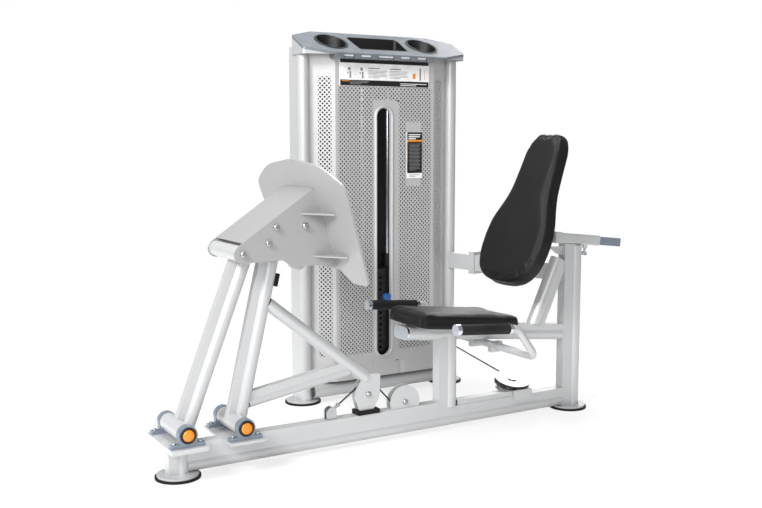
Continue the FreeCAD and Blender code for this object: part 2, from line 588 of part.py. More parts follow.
def anchor():
    """Two rounded ears on the beam, the pin between them and the cable's threaded end."""
    x, z = size("anchor_x"), size("anchor_z")
    ears = []
    for y in (-13, 7):
        ear = disc_y(19, 6, x, z, y)
        foot = box(38, 6, z - RAISED_TOP, V(x - 19, y, RAISED_TOP))
        ears.append(cut(fuse(ear, foot), disc_y("$axle_dia / 2 - 2", 6, x, z, y)))
    node(group(*ears), "cable_anchor")
    node(disc_y("$axle_dia / 2 - 2", 30, x, z, -15), "cable_anchor")
    along = ANCHOR_DIR
    eye = cut(disc_y(11, 12, x, z, -6), disc_y("$axle_dia / 2 - 2", 12, x, z, -6))
    shank = rod(5.5, 34, V(x, 0, z) + along * 9, along)
    nut = rod(8, 8, V(x, 0, z) + along * 34, along)
    pin_way = disc_y("$axle_dia / 2 - 2", 12, x, z, -6)
    node(cut(fuse(eye, shank, nut), pin_way), "cable_anchor")


# ---------------------------------------------------------------- cable

def tangent_angle(start, centre, radius):
    """Direction from a point that just clears the top of a circle in the XZ plane."""
    gap = centre - start
    return math.atan2(gap.z, gap.x) + math.asin(radius / gap.Length)


def left_of(angle):
    return V(-math.sin(angle), 0, math.cos(angle))


ANCHOR = V(size("anchor_x"), 0, size("anchor_z"))
RISE_ANGLE = tangent_angle(ANCHOR, LEVER_PULLEY, size("lever_pulley_r"))
ANCHOR_DIR = V(math.cos(RISE_ANGLE), 0, math.sin(RISE_ANGLE))


def fall_angle():
    """Direction of the run that crosses from over the lever pulley to under the beam pulley."""
    gap = BEAM_PULLEY - LEVER_PULLEY
    both = size("lever_pulley_r") + size("beam_pulley_r")
    return math.atan2(gap.z, gap.x) - math.asin(both / gap.Length)


def arc(centre, first, last, radius):
    """Shorter arc about a centre between two unit directions."""
    middle = (first + last).normalize()
    return Part.Arc(centre + first * radius, centre + middle * radius, centre + last * radius).toShape()


def line(start, end):
    return Part.LineSegment(start, end).toShape()


def cable(edges, name):
    """Coated steel cable swept along straight runs and tangent arcs."""
    path = Part.Wire(edges)
    start, along = edges[0].Vertexes[0].Point, edges[0].tangentAt(edges[0].FirstParameter)
    section = Part.Wire(Part.Circle(start, along, size("cable_dia") / 2).toShape())
    item = DOC.addObject("Part::Feature", "Cable")
    item.Shape = path.makePipeShell([section], True, True)
    expected = path.Length * math.pi * size("cable_dia") ** 2 / 4
    print(f"{name}: length {path.Length:.0f} mm, volume ratio {item.Shape.Volume / expected:.4f}")
    node(item, name)


def cables():
    """The cable from its anchor, over the lever pulley and through the base, to the weights."""
    lever_r, beam_r, turn_r = size("lever_pulley_r"), size("beam_pulley_r"), size("turn_pulley_r")
    tower_r, top_r = size("tower_pulley_r"), size("top_pulley_r")
    fall = fall_angle()
    up_side, down_side = left_of(RISE_ANGLE), left_of(fall)
    first = ANCHOR + ANCHOR_DIR * 43
    cable([line(first, LEVER_PULLEY + up_side * lever_r),
           arc(LEVER_PULLEY, up_side, down_side, lever_r),
           line(LEVER_PULLEY + down_side * lever_r, BEAM_PULLEY - down_side * beam_r),
           arc(BEAM_PULLEY, down_side * -1, Z_AXIS * -1, beam_r)], "cable_lever_run")

    turn_in = TURN_PULLEY - TURN_SIDE * turn_r
    turn_out = (TURN_OUT - TURN_PULLEY) / turn_r
    tower_in = (TOWER_IN - TOWER_PULLEY) / tower_r
    climb_end = TOWER_PULLEY + FLAT_DIR * tower_r
    top_in, top_out = TOP_REAR + X_AXIS * top_r, TOP_MIDDLE - X_AXIS * top_r
    cable([line(BEAM_PULLEY - Z_AXIS * beam_r, turn_in),
           arc(TURN_PULLEY, TURN_SIDE * -1, turn_out, turn_r),
           line(TURN_OUT, TOWER_IN),
           arc(TOWER_PULLEY, tower_in, FLAT_DIR, tower_r),
           line(climb_end, top_in),
           arc(TOP_REAR, X_AXIS, Z_AXIS, top_r),
           line(TOP_REAR + Z_AXIS * top_r, TOP_MIDDLE + Z_AXIS * top_r),
           arc(TOP_MIDDLE, Z_AXIS, X_AXIS * -1, top_r),
           line(top_out, top_out - Z_AXIS * 20)], "cable_main_run")
    cable([line(top_out - Z_AXIS * 20, V(TOWER_X, TOWER_Y, SELECTOR_TOP))], "cable_stack_run")


# ---------------------------------------------------------------- carriage and foot plate

def carriage():
    """Two side plates under a folded cover, with the arched foot plate and its gussets."""
    thick, half = size("side_plate_thick"), size("carriage_width") / 2
    lean = math.radians(size("foot_face_lean"))
    up, out = V(-math.sin(lean), 0, math.cos(lean)), V(math.cos(lean), 0, math.sin(lean))
    base = V(size("foot_face_x"), 0, size("foot_face_z"))
    end_r = size("front_knee_dia") / 2 + 3

    crown = base + up * 280
    rise = V(crown.x - KNEE_A.x, 0, crown.z - KNEE_A.z)
    angle = math.atan2(rise.z, rise.x) - math.asin(end_r / rise.Length)
    edge = KNEE_A + left_of(angle) * end_r
    outline = [(KNEE_A.x - end_r, KNEE_A.z + 4), (edge.x, edge.z), (crown.x, crown.z), (base.x, base.z),
               (base.x - 85, base.z + 10), (base.x - 162, base.z + 8), (base.x - 200, base.z + 34),
               (KNEE_A.x + 22, KNEE_A.z - end_r), (KNEE_A.x - end_r, KNEE_A.z - end_r)]
    radii = [0, end_r * 0.9, 4, 4, 14, 14, 24, 40, end_r * 0.98]
    holes = [(KNEE_A.x, KNEE_A.z, size("knee_pin_dia") / 2), (KNEE_B.x, KNEE_B.z, size("knee_pin_dia") / 2)]
    for y in (-half + thick, half):
        node(side_slab(outline, "$side_plate_thick", y, radii, holes), "carriage_plates")

    slope_dir = V(math.cos(angle), 0, math.sin(angle))
    cover_from, cover_thick = size("cover_start"), size("cover_thick")
    cover_length = (crown - edge).dot(slope_dir) - cover_from - 1
    cover = box(cover_length, "$carriage_width - 2 * $side_plate_thick", "$cover_thick",
                edge + slope_dir * cover_from - left_of(angle) * cover_thick - Y_AXIS * (half - thick),
                FreeCAD.Rotation(Y_AXIS, -math.degrees(angle)))
    node(cover, "carriage_plates")
    fixings = [(KNEE_B.x - 28, KNEE_B.z - 50), (KNEE_B.x + 104, KNEE_B.z + 1)]
    for x, z in fixings:
        for y in (-half + thick, half - thick - size("boss_length")):
            node(disc_y("$boss_dia / 2", "$boss_length", x, z, y), "carriage_bolts")
    for knee in (KNEE_A, KNEE_B):
        pin = disc_y("$knee_pin_dia / 2", "$carriage_width", knee.x, knee.z, -half)
        node(pin, "carriage_bolts")
    bolts = []
    for x, z in [(KNEE_A.x, KNEE_A.z), (KNEE_B.x, KNEE_B.z)] + fixings:
        for y in (-half - size("bolt_head"), half):
            bolts.append(disc_y("$bolt_dia / 2", "$bolt_head", x, z, y))
    node(group(*bolts), "carriage_bolts")

    width, top = size("foot_face_width") / 2, size("foot_face_rise")
    shape = [(-0.90 * width, -50), (-0.60 * width, -52), (-0.40 * width, -10), (0.40 * width, -10),
             (0.60 * width, -52), (0.90 * width, -50), (1.00 * width, 290), (0.62 * width, top - 20),
             (0, top + 4), (-0.62 * width, top - 20), (-1.00 * width, 290)]
    corner = [26, 40, 40, 40, 40, 26, 46, 300, 420, 300, 46]
    plate = slab(shape, "$foot_face_thick", corner)
    place(plate, base, FreeCAD.Rotation(Y_AXIS, up, out, "XYZ"))
    node(plate, "foot_plate")

    gussets = []
    for side in (-1, 1):
        for along in (40, 190):
            at = base + up * along + Y_AXIS * (side * half)
            points = [(0, 0), (0, side * 105), (-8, side * 105), (-76, 0)]
            flat = slab(points, 5)
            gussets.append(place(flat, at))
    node(cut(group(*gussets), plate), "carriage_plates")


# ---------------------------------------------------------------- seat and handles

def on_seat(along, side, rise):
    """Point given along the seat beam, across it and above its centre line."""
    return SEAT_FRONT + SEAT_DIR * along + Y_AXIS * side + SEAT_UP * rise


def seat():
    """Seat plate and cushion on the sloping beam."""
    tilt = FreeCAD.Rotation(Y_AXIS, size("seat_tilt"))
    length, width = size("seat_pad_length"), size("seat_pad_width")
    low = size("seat_bead") / 2
    margin, half = 30, width / 2 - 40
    plate = [(margin, -half), (length - margin, -half), (length - margin, half), (margin, half)]
    node(place(slab(plate, "$seat_plate_thick", [20] * 4), on_seat(0, 0, low), tilt), "seat_brackets")
    front_half, rear_half = 0.45 * width, 0.50 * width
    pad = [(0, -front_half), (length, -rear_half), (length, rear_half), (0, front_half)]
    body = slab(pad, "$seat_pad_thick", [24, 34, 34, 24])
    node(place(body, on_seat(0, 0, low + size("seat_plate_thick") + 0.3), tilt), "seat_pad")


def handles():
    """One bent tube under the seat beam that carries a grip on each side."""
    span, radius = size("grip_half_span"), size("handle_dia") / 2
    grip_dir = slope(4.5)
    front = V(905, 0, 446)
    length = size("grip_length")
    collar_end = front + grip_dir * (length + 22)
    low_x, low_z = 1243, seat_underside(1243) - radius - 0.1
    bend, inner = 45, 34
    low = V(low_x, 0, low_z)
    side_run = V(low.x - collar_end.x, 0, low.z - collar_end.z)
    points = [front + Y_AXIS * -span, collar_end + grip_dir * 20 + Y_AXIS * -span, low + Y_AXIS * -span,
              low + Y_AXIS * span, collar_end + grip_dir * 20 + Y_AXIS * span, front + Y_AXIS * span]
    item = DOC.addObject("Part::Feature", "Handle")
    item.Shape = bent_rod(points, [bend, inner, inner, bend], radius)
    node(item, "handle_tube")

    grips, caps, collars = [], [], []
    for side in (-1, 1):
        at = front + Y_AXIS * (side * span)
        outer = rod("$grip_dia / 2", length, at, grip_dir)
        grips.append(cut(outer, rod("$handle_dia / 2", length, at, grip_dir)))
        caps.append(rod("$grip_dia / 2 + 1", 17, at - grip_dir * 17, grip_dir))
        ring = rod("$grip_dia / 2 + 1", 14, at + grip_dir * length, grip_dir)
        collars.append(cut(ring, rod("$handle_dia / 2", 14, at + grip_dir * length, grip_dir)))
    node(group(*grips), "handle_grips")
    node(group(*caps), "chrome_caps")
    node(group(*collars), "chrome_caps")
    clamps = []
    for y in (-74, 50):
        block = box(52, 24, 2 * radius + 12, V(low_x - 26, y, low_z - radius - 8))
        clamps.append(cut(block, fuse(disc_y("$handle_dia / 2", 24, low_x, low_z, y),
                                      box(52, 24, 40, V(low_x - 26, y, low_z + radius + 2)))))
    node(group(*clamps), "seat_brackets")


def seat_underside(x):
    """Height of the seat beam's underside at x."""
    run = (x - size("seat_front_x")) / SEAT_DIR.x
    return (SEAT_FRONT + SEAT_DIR * run).z - size("seat_bead") / 2 / SEAT_DIR.x


def bent_rod(points, radii, radius):
    """Round bar along straight runs joined by tangent arcs of the given radii."""
    edges, here = [], points[0]
    for i, bend in enumerate(radii, start=1):
        before = (points[i - 1] - points[i]).normalize()
        after = (points[i + 1] - points[i]).normalize()
        half = before.getAngle(after) / 2
        reach = bend / math.tan(half)
        first, last = points[i] + before * reach, points[i] + after * reach
        middle = points[i] + (before + after).normalize() * (bend / math.sin(half) - bend)
        edges += [line(here, first), Part.Arc(first, middle, last).toShape()]
        here = last
    edges.append(line(here, points[-1]))
    section = Part.Wire(Part.Circle(points[0], points[1] - points[0], radius).toShape())
    return Part.Wire(edges).makePipeShell([section], True, True)


# ---------------------------------------------------------------- backrest

def backrest():
    """Sleeve on the rear post, the bar that slides in it and the pad that the bar carries."""
    lean = math.radians(size("back_lean"))
    up, behind = V(math.sin(lean), 0, math.cos(lean)), V(math.cos(lean), 0, -math.sin(lean))
    base = V(size("back_x"), 0, size("back_z"))
    turn = FreeCAD.Rotation(Y_AXIS, up, behind, "XYZ")
    half, top = size("back_width") / 2, size("back_length")
    # Shares of the half width, heights along the pad and corner radii, from the bottom to the top.
    profile = [(0.30, 0, 200), (0.72, 20, 120), (0.94, 84, 120), (1.00, 165, 300), (0.95, 250, 250),
               (0.67, 370, 350), (0.60, 470, 0), (0.54, 575, 140), (0.34, top, 52)]
    outline = [(share * half, rise) for share, rise, _ in profile]
    outline += [(-share * half, rise) for share, rise, _ in reversed(profile)]
    radii = [radius for _, _, radius in profile]
    pad = slab(outline, "$back_thick", radii + radii[::-1])
    node(place(pad, base, turn), "back_pad")
    board = [(-70, 60), (70, 60), (70, 380), (-70, 380)]
    board_at = base + behind * (size("back_thick") + 0.3)
    node(place(slab(board, 6, [20] * 4), board_at, turn), "back_bracket")

    post_mid = size("rear_post_x") + size("post_depth") / 2
    axis_at = V(post_mid, 0, size("rear_post_top") + 27)
    sleeve_front = axis_at + SLIDE_DIR * (1604 - post_mid)
    sleeve_length = 204
    high, wide = 42, 40
    tilt = FreeCAD.Rotation(Y_AXIS, size("slide_tilt"))

    def bar(length, width, height, start):
        corner = start - SLIDE_UP * (height / 2) - Y_AXIS * (width / 2)
        return box(length, width, height, corner, tilt)

    edge = 7
    corners = [sleeve_front + SLIDE_UP * (i * (high / 2 - edge)) + Y_AXIS * (j * (wide / 2 - edge))
               for i in (-1, 1) for j in (-1, 1)]
    rounded = fuse(bar(sleeve_length, wide - 2 * edge, high, sleeve_front),
                   bar(sleeve_length, wide, high - 2 * edge, sleeve_front),
                   *[rod(edge, sleeve_length, corner, SLIDE_DIR) for corner in corners])
    bore_start = sleeve_front - SLIDE_DIR * 5
    sleeve = cut(rounded, bar(sleeve_length + 10, 25, 35, bore_start))
    pin_at = axis_at + SLIDE_DIR * 78
    pin_hole = rod(5.2, 60, pin_at - SLIDE_UP * 60, SLIDE_UP)
    node(cut(sleeve, pin_hole), "slide_sleeve")

    foot_corner = V(size("rear_post_x"), -size("post_rib") / 2, size("rear_post_top"))
    foot = box("$post_depth", "$post_rib", 40, foot_corner)
    above = bar(400, 80, 100, sleeve_front - SLIDE_DIR * 60 + SLIDE_UP * (50 - high / 2))
    node(cut(foot, above), "slide_sleeve")

    bar_front = axis_at + SLIDE_DIR * (1512 - post_mid)
    slide = bar(418, 24, 34, bar_front)
    stops = [rod(5.2, 60, pin_at - SLIDE_UP * 64 + SLIDE_DIR * (step * 25), SLIDE_UP) for step in range(5)]
    node(cut(slide, group(*stops)), "slide_bar")
    collar = bar(34, wide + 6, high + 4, sleeve_front - SLIDE_DIR * 36)
    node(cut(collar, bar(60, 24.4, 34.4, sleeve_front - SLIDE_DIR * 50)), "slide_sleeve")

    bracket = bar(150, 52, 56, bar_front - SLIDE_DIR * 120)
    pad_side = box(800, 800, 300, base + behind * (size("back_thick") + 6.3 - 300) - Y_AXIS * 400, turn)
    bar_space = bar(200, 24, 34, bar_front)
    node(cut(bracket, fuse(pad_side, bar_space)), "back_bracket")

    knob_low = pin_at - SLIDE_UP * (high / 2 + 34)
    node(fuse(rod(5, 37.6, knob_low, SLIDE_UP), rod(11, 14, knob_low - SLIDE_UP * 8, SLIDE_UP)), "slide_pin")
    boss_low = pin_at - SLIDE_UP * (high / 2 + 14)
    node(cut(rod(10, 14, boss_low, SLIDE_UP), rod(5.2, 14, boss_low, SLIDE_UP)), "slide_sleeve")

    gusset = [(0, 0), (66, 0), (66, -36), (38, -30), (14, -14)]
    corner = V(size("rear_post_x") - 66, 0, size("rear_post_top"))
    node(side_slab([(corner.x + a, corner.z + b) for a, b in gusset], 8, 4, [0, 0, 0, 20, 20]), "slide_sleeve")


# ---------------------------------------------------------------- weight tower

def tower_feet():
    """Where the two tower posts stand on their foot plates."""
    return [V(size(f"tower_{name}_x"), TOWER_Y, FOOT_TOP) for name in ("left", "right")]


def tower_frame():
    """Two upright posts, the tubes between them and the member that ties them to the base."""
    height = size("tower_post_top") - FOOT_TOP
    bead_y = TOWER_Y - (size("tower_post_depth") - size("tower_post_bead")) / 2
    for foot in tower_feet():
        node(keyhole_tube("tower_post", height, foot, Z_AXIS, -Y_AXIS), "tower_posts")
    beads = fuse(*[rod("$tower_post_bead / 2", height, V(foot.x, bead_y, FOOT_TOP)) for foot in tower_feet()])
    inner_left = size("tower_left_x") + size("tower_post_bead") / 2
    width = size("tower_right_x") - size("tower_left_x") - size("tower_post_bead")
    web_left = size("tower_left_x") + size("tower_post_rib") / 2
    web_width = size("tower_right_x") - size("tower_left_x") - size("tower_post_rib")
    low = box(web_width, 40, 60, V(web_left, TOWER_Y - 12, FOOT_TOP + 6))
    low_inside = box(web_width, 34, 54, V(web_left, TOWER_Y - 9, FOOT_TOP + 9))
    node(cut(low, low_inside), "tower_tubes")
    skirt_at = V(inner_left, size("tower_post_y") + 14, 50)
    skirt = cut(rod(30, width, skirt_at, X_AXIS), rod(27, width, skirt_at, X_AXIS))
    node(cut(skirt, box(width, 60, 80, V(inner_left, TOWER_Y - 10, FOOT_TOP))), "tower_tubes")
    plate = box(web_width, 54, 5, V(web_left, TOWER_Y - 24, size("guide_plate_z")))
    ways = [rod("$cable_dia / 2 + 4", 5, V(x, TOWER_Y, size("guide_plate_z"))) for x in (TOWER_X, RISER.x)]
    node(cut(plate, fuse(beads, *ways)), "tower_tubes")
    rails = []
    for y in (-size("cheek_gap") / 2 - 6, size("cheek_gap") / 2):
        rail = box(web_width, 6, 50, V(web_left, TOWER_Y + y, size("top_pulley_z") - 25))
        holes = [disc_y("$axle_dia / 2", 6, c.x, c.z, TOWER_Y + y) for c in (TOP_REAR, TOP_MIDDLE)]
        rails.append(cut(rail, fuse(beads, *holes)))
    node(group(*rails), "pulley_brackets")
    for centre in (TOP_REAR, TOP_MIDDLE):
        axle(centre, Y_AXIS, size("cheek_gap") + 16, "pulley_axles")

    fork_top = TOWER_PULLEY.z + 18
    plates = []
    bottom = FOOT_TOP + 66
    centre_low = V(TOWER_PULLEY.x, TOWER_PULLEY.y, bottom)
    yaw = FreeCAD.Rotation(Z_AXIS, math.degrees(math.atan2(TOWER_AXIS.y, TOWER_AXIS.x)))
    for offset in (-size("cheek_gap") / 2 - 5, size("cheek_gap") / 2):
        at = centre_low + TOWER_AXIS * offset - TOWER_AXIS.cross(Z_AXIS) * -18
        axle_way = rod("$axle_dia / 2", 60, TOWER_PULLEY - TOWER_AXIS * 30, TOWER_AXIS)
        plates.append(cut(box(5, 36, fork_top - bottom, at, yaw), axle_way))
    node(group(*plates), "pulley_brackets")
    axle(TOWER_PULLEY, TOWER_AXIS, size("cheek_gap") + 14, "pulley_axles")


def cross_member():
    """Square tube that ties the tower's right post to the rear post, with its bolted collar."""
    z = 560
    start = V(size("tower_right_x") + 4, size("tower_post_y"), z)
    end = V(size("rear_post_x") + 12, size("post_rib") / 2, z)
    along = (end - start).normalize()
    turn = aim(along, Z_AXIS)
    sideways = turn.multVec(Y_AXIS)

    def bar(length, width, height, at):
        return box(height, width, length, at - Z_AXIS * (height / 2) - sideways * (width / 2), turn)

    length = (end - start).Length
    tube = cut(bar(length + 60, 50, 68, start - along * 20), bar(length + 60, 45, 63, start - along * 20))
    post = box(200, 200, 300, V(size("tower_right_x") - 100, size("tower_post_y"), z - 150))
    bead = rod("$tower_post_bead / 2", 300, V(size("tower_right_x"),
               size("tower_post_y") + size("tower_post_bead") / 2, z - 150))
    rear = box(200, 200, 300, V(size("rear_post_x"), -200 + size("post_rib") / 2, z - 150))
    rear_bead = rod("$post_bead / 2", 300, V(size("rear_post_x") + size("post_depth")
                    - size("post_bead") / 2, 0, z - 150))
    node(cut(tube, fuse(post, rear, rear_bead, brace_bar(keyhole))), "tower_tubes")
    sleeve = cut(bar(30, 64, 96, start + along * 118), bar(40, 50, 68, start + along * 113))
    node(sleeve, "tower_tubes")


def tower_panels():
    """Folded front panel with the slot for the selector, and the rear panel."""
    left, right = size("panel_left_x"), size("panel_right_x")
    low, high = size("panel_bottom_z"), size("panel_top_z")
    y, thick = size("tower_front_y"), size("sheet_thick")
    side_x, side_y = size("wing_width"), size("wing_depth")
    outline = [(left - side_x, y + side_y), (left, y), (right, y), (right + side_x, y + side_y),
               (right + side_x, y + side_y + thick * 1.2), (right - 0.6, y + thick), (left + 0.6, y + thick),
               (left - side_x, y + side_y + thick * 1.2)]
    panel = slab(outline, high - low)
    place(panel, V(0, 0, low))
    half = size("slot_width") / 2
    bottom, top = size("slot_bottom_z"), size("slot_top_z")
    slot = side_slab([(TOWER_X - half, bottom), (TOWER_X + half, bottom), (TOWER_X + half, top),
                      (TOWER_X - half, top)], 30, y + 15, [half - 0.1] * 4)
    t = (y + side_y / 2 - TURN_OUT.y) / TURN_DIR.y
    cable_at = TURN_OUT + TURN_DIR * t
    cable_way = rod(14, 60, cable_at - TURN_DIR * 30, TURN_DIR)
    node(cut(panel, fuse(slot, cable_way)), "front_panel")

    rear_y = size("cap_rear_y") - size("cap_wall") - thick
    back = [(left - side_x, rear_y - 20), (left - side_x + 20, rear_y), (right + side_x - 20, rear_y),
            (right + side_x, rear_y - 20), (right + side_x, rear_y - 20 + thick * 1.4),
            (right + side_x - 19, rear_y + thick), (left - side_x + 19, rear_y + thick),
            (left - side_x, rear_y - 20 + thick * 1.4)]
    node(place(slab(back, size("cap_low_z") - low), V(0, 0, low)), "rear_panel")


def tower_cap():
    """Sloping hollow lid over the tower with two bottle cups and a tray, and its front fascia."""
    wall, low = size("cap_wall"), size("cap_low_z")
    left, right = size("tower_left_x") - size("cap_overhang"), size("tower_right_x") + size("cap_overhang")
    front, rear = size("cap_front_y"), size("cap_rear_y")
    lean = math.atan2(size("cap_rear_z") - size("cap_front_z"), rear - front)
    tilt = FreeCAD.Rotation(X_AXIS, math.degrees(lean))
    middle_x, middle_y = size("cap_middle_x"), size("cap_middle_y")

    def top_z(y):
        """Height of the lid's top face at y."""
        return size("cap_front_z") + (y - front) * math.tan(lean)

    def space_above(drop):
        """Cutting block for everything higher than drop below the top face."""
        return box(1200, 600, 300, V(left - 100, front - 100, top_z(front - 100) - drop), tilt)

    def lid_block(inset, z_low):
        """Eight-sided block as wide as the lid, less inset all round."""
        front_cut, rear_cut = (127, 42), (107, 46)
        plan = [(left, front + front_cut[1]), (left + front_cut[0], front), (right - front_cut[0], front),
                (right, front + front_cut[1]), (right, rear - rear_cut[1]), (right - rear_cut[0], rear),
                (left + rear_cut[0], rear), (left, rear - rear_cut[1])]
        radii = [10, 30, 30, 10, 10, 30, 30, 10]
        return place(slab(inset_outline(plan, inset), 200, radii), V(0, 0, z_low))

    outer = cut(lid_block(0, low), space_above(0))
    inner = cut(lid_block(wall, low - 1), space_above(size("cap_top_thick")))

    wells = []
    gap, liner_wall = 0.3, 3
    floor = top_z(middle_y) - size("cup_depth")
    well_r = size("cup_dia") / 2
    normal = V(0, -math.sin(lean), math.cos(lean))
    for side in (-1, 1):
        x = middle_x + side * size("cup_offset")
        wells.append(rod("$cup_dia / 2", 160, V(x, middle_y, floor)))
        liner = cut(rod(well_r - gap, 160, V(x, middle_y, floor + gap)), space_above(0))
        rim = rod("$cup_dia / 2 + $cup_rim", 2.5, V(x, middle_y, top_z(middle_y)), normal)
        hollow = rod(well_r - gap - liner_wall, 160, V(x, middle_y, floor + gap + liner_wall))
        node(cut(fuse(liner, rim), hollow), "cap_liners")

    def tray_block(inset, z_low):
        """Block in the shape of the tray, less inset all round."""
        near, far, wide = middle_y - 62, middle_y + 56, size("tray_half")
        plan = [(middle_x - wide + 8, near), (middle_x + wide - 8, near), (middle_x + wide, far),
                (middle_x - wide, far)]
        return place(slab(inset_outline(plan, inset), 160, [18 - inset] * 4), V(0, 0, z_low))

    floor = top_z(middle_y) - size("tray_depth")
    wells.append(tray_block(0, floor))
    hollow = tray_block(gap + liner_wall, floor + gap + liner_wall)
    node(cut(tray_block(gap, floor + gap), fuse(hollow, space_above(0))), "cap_liners")
    posts_above = [keyhole("tower_post", size("tower_post_top") - FOOT_TOP, foot, Z_AXIS, -Y_AXIS)
                   for foot in tower_feet()]
    node(cut(cut(outer, inner), fuse(*wells, *posts_above)), "tower_cap")

    y, z = size("tower_front_y"), size("panel_top_z")
    face_left, face_right = size("panel_left_x") + 1, size("panel_right_x") - 1
    fascia = [(face_left, z - 22.5), (face_right, z - 22.5), (face_right, z + 1), (face_left, z + 1)]
    node(side_slab(fascia, 6, y, [2] * 4), "cap_fascia")


def placards():
    """Top placard and the small instruction plate on the front panel."""
    y = size("tower_front_y")
    node(box(432, 3, 108, V(TOWER_X - 211, y - 3, 1309)), "placards")
    node(box(77, 2.5, 196, V(TOWER_X + 112, y - 2.5, 927)), "placards")


# ---------------------------------------------------------------- weight stack

def weight_stack():
    """Guide rods, rubber stops, plates, selector stem and the pin that picks the load."""
    pitch, thick = size("plate_pitch"), size("plate_thick")
    count, lifted = int(size("plate_count")), int(size("plates_lifted"))
    low = size("stack_bottom_z")
    half = size("guide_spacing") / 2
    rod_low, rod_top = FOOT_TOP + 66, size("guide_plate_z")
    for x in (TOWER_X - half, TOWER_X + half):
        node(rod("$guide_rod_dia / 2", rod_top - rod_low, V(x, TOWER_Y, rod_low)), "guide_rods")
        stop = rod(24, low - rod_low - 0.3, V(x, TOWER_Y, rod_low))
        node(cut(stop, rod("$guide_rod_dia / 2", 60, V(x, TOWER_Y, rod_low))), "rubber_stops")

    def plate(index):
        z = low + index * pitch
        block = box("$plate_width", "$plate_depth", thick,
                    V(TOWER_X - size("plate_width") / 2, TOWER_Y - size("plate_depth") / 2, z))
        holes = [rod("$guide_rod_dia / 2 + 1", thick, V(TOWER_X + s * half, TOWER_Y, z)) for s in (-1, 1)]
        holes.append(rod("$selector_dia / 2 + 1", thick, V(TOWER_X, TOWER_Y, z)))
        slot = rod(6, size("plate_depth") / 2 + 2, V(TOWER_X, TOWER_Y, z + thick / 2), -Y_AXIS)
        return cut(block, fuse(*holes, slot))

    node(group(*[plate(i) for i in range(count - lifted)]), "resting_plates")
    node(group(*[plate(i) for i in range(count - lifted, count)]), "lifted_plates")
    top_z = low + count * pitch
    head = box("$plate_width", "$plate_depth", "$head_thick",
               V(TOWER_X - size("plate_width") / 2, TOWER_Y - size("plate_depth") / 2, top_z))
    tall = size("head_sleeve_height")
    sleeves = [rod("$guide_rod_dia / 2 + 10", tall, V(TOWER_X + s * half, TOWER_Y, top_z)) for s in (-1, 1)]
    bores = [rod("$guide_rod_dia / 2 + 0.08", tall + 2, V(TOWER_X + s * half, TOWER_Y, top_z - 1))
             for s in (-1, 1)]
    bores.append(rod("$selector_dia / 2", tall + 2, V(TOWER_X, TOWER_Y, top_z - 1)))
    node(cut(fuse(head, *sleeves), fuse(*bores)), "stack_head")
    stem = rod("$selector_dia / 2", SELECTOR_TOP - low - 6, V(TOWER_X, TOWER_Y, low + 6))
    ways = [rod(5.2, 60, V(TOWER_X, TOWER_Y + 30, low + i * pitch + thick / 2), -Y_AXIS)
            for i in range(count)]
    node(cut(stem, group(*ways)), "stack_head")
    pin_z = low + (count - lifted) * pitch + thick / 2
    pin = rod(5, TOWER_Y - size("tower_front_y") + 20, V(TOWER_X, TOWER_Y + 10, pin_z), -Y_AXIS)
    node(pin, "selector_pin")
    knob_y = size("tower_front_y") - 10
    node(rod(17, 26, V(TOWER_X, knob_y, pin_z), -Y_AXIS), "selector_pin")


SELECTOR_TOP = size("stack_bottom_z") + size("plate_count") * size("plate_pitch") + 70


def build():
    feet()
    base_beam()
    posts()
    seat_frame()
    pillow_bearings(PIVOT_A, 15)
    pillow_bearings(PIVOT_B, 8)
    pivot_shaft(PIVOT_A, "front")
    pivot_shaft(PIVOT_B, "rear")
    arm(PIVOT_A, KNEE_A, 21.3, "front", size("open_pivot_play"))
    lever(*arm(PIVOT_B, KNEE_B, 13.2, "rear", size("shaft_play")))
    node(box("$stop_pad_length", "$stop_pad_width", "$stop_pad_thick",
             V(LEVER_PULLEY.x - 46, -size("stop_pad_width") / 2, RAISED_TOP)), "rubber_stops")
    pulleys()
    turn_station()
    anchor()
    cables()
    carriage()
    seat()
    handles()
    backrest()
    tower_frame()
    cross_member()
    tower_panels()
    tower_cap()
    placards()
    weight_stack()


def finish_pieces():
    """One labelled object for each piece; its solids are welded where they meet."""
    finished = []
    for label, items in PIECES.items():
        item = items[0] if len(items) == 1 else fuse(*items)
        item.Label = label
        finished.append(item)
    DOC.recompute()
    return finished


def check_and_write(pieces):
    """Stop on any failed object or bad shape, then write one file for each piece."""
    failed = [f"{o.Label}: {o.State}" for o in DOC.Objects if {"Invalid", "Error"} & set(o.State)]
    bad = [p.Label for p in pieces if p.Shape.isNull() or not p.Shape.isValid() or not p.Shape.Solids]
    if failed or bad:
        raise RuntimeError(f"failed objects {failed}; bad shapes {bad}")
    os.makedirs("parts", exist_ok=True)
    for piece in pieces:
        piece.Shape.exportStep(f"parts/{piece.Label}.step")
    print(len(pieces), "pieces written")


build()
check_and_write(finish_pieces())
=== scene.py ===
"""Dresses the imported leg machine: finishes, perforated guards, cushions, grips, fixings and cables."""
import math

import bmesh
import bpy
from bpy.props import FloatProperty, FloatVectorProperty, IntProperty, PointerProperty
from bpy.types import Operator, Panel, PropertyGroup
from mathutils import Matrix, Vector
from mathutils.bvhtree import BVHTree


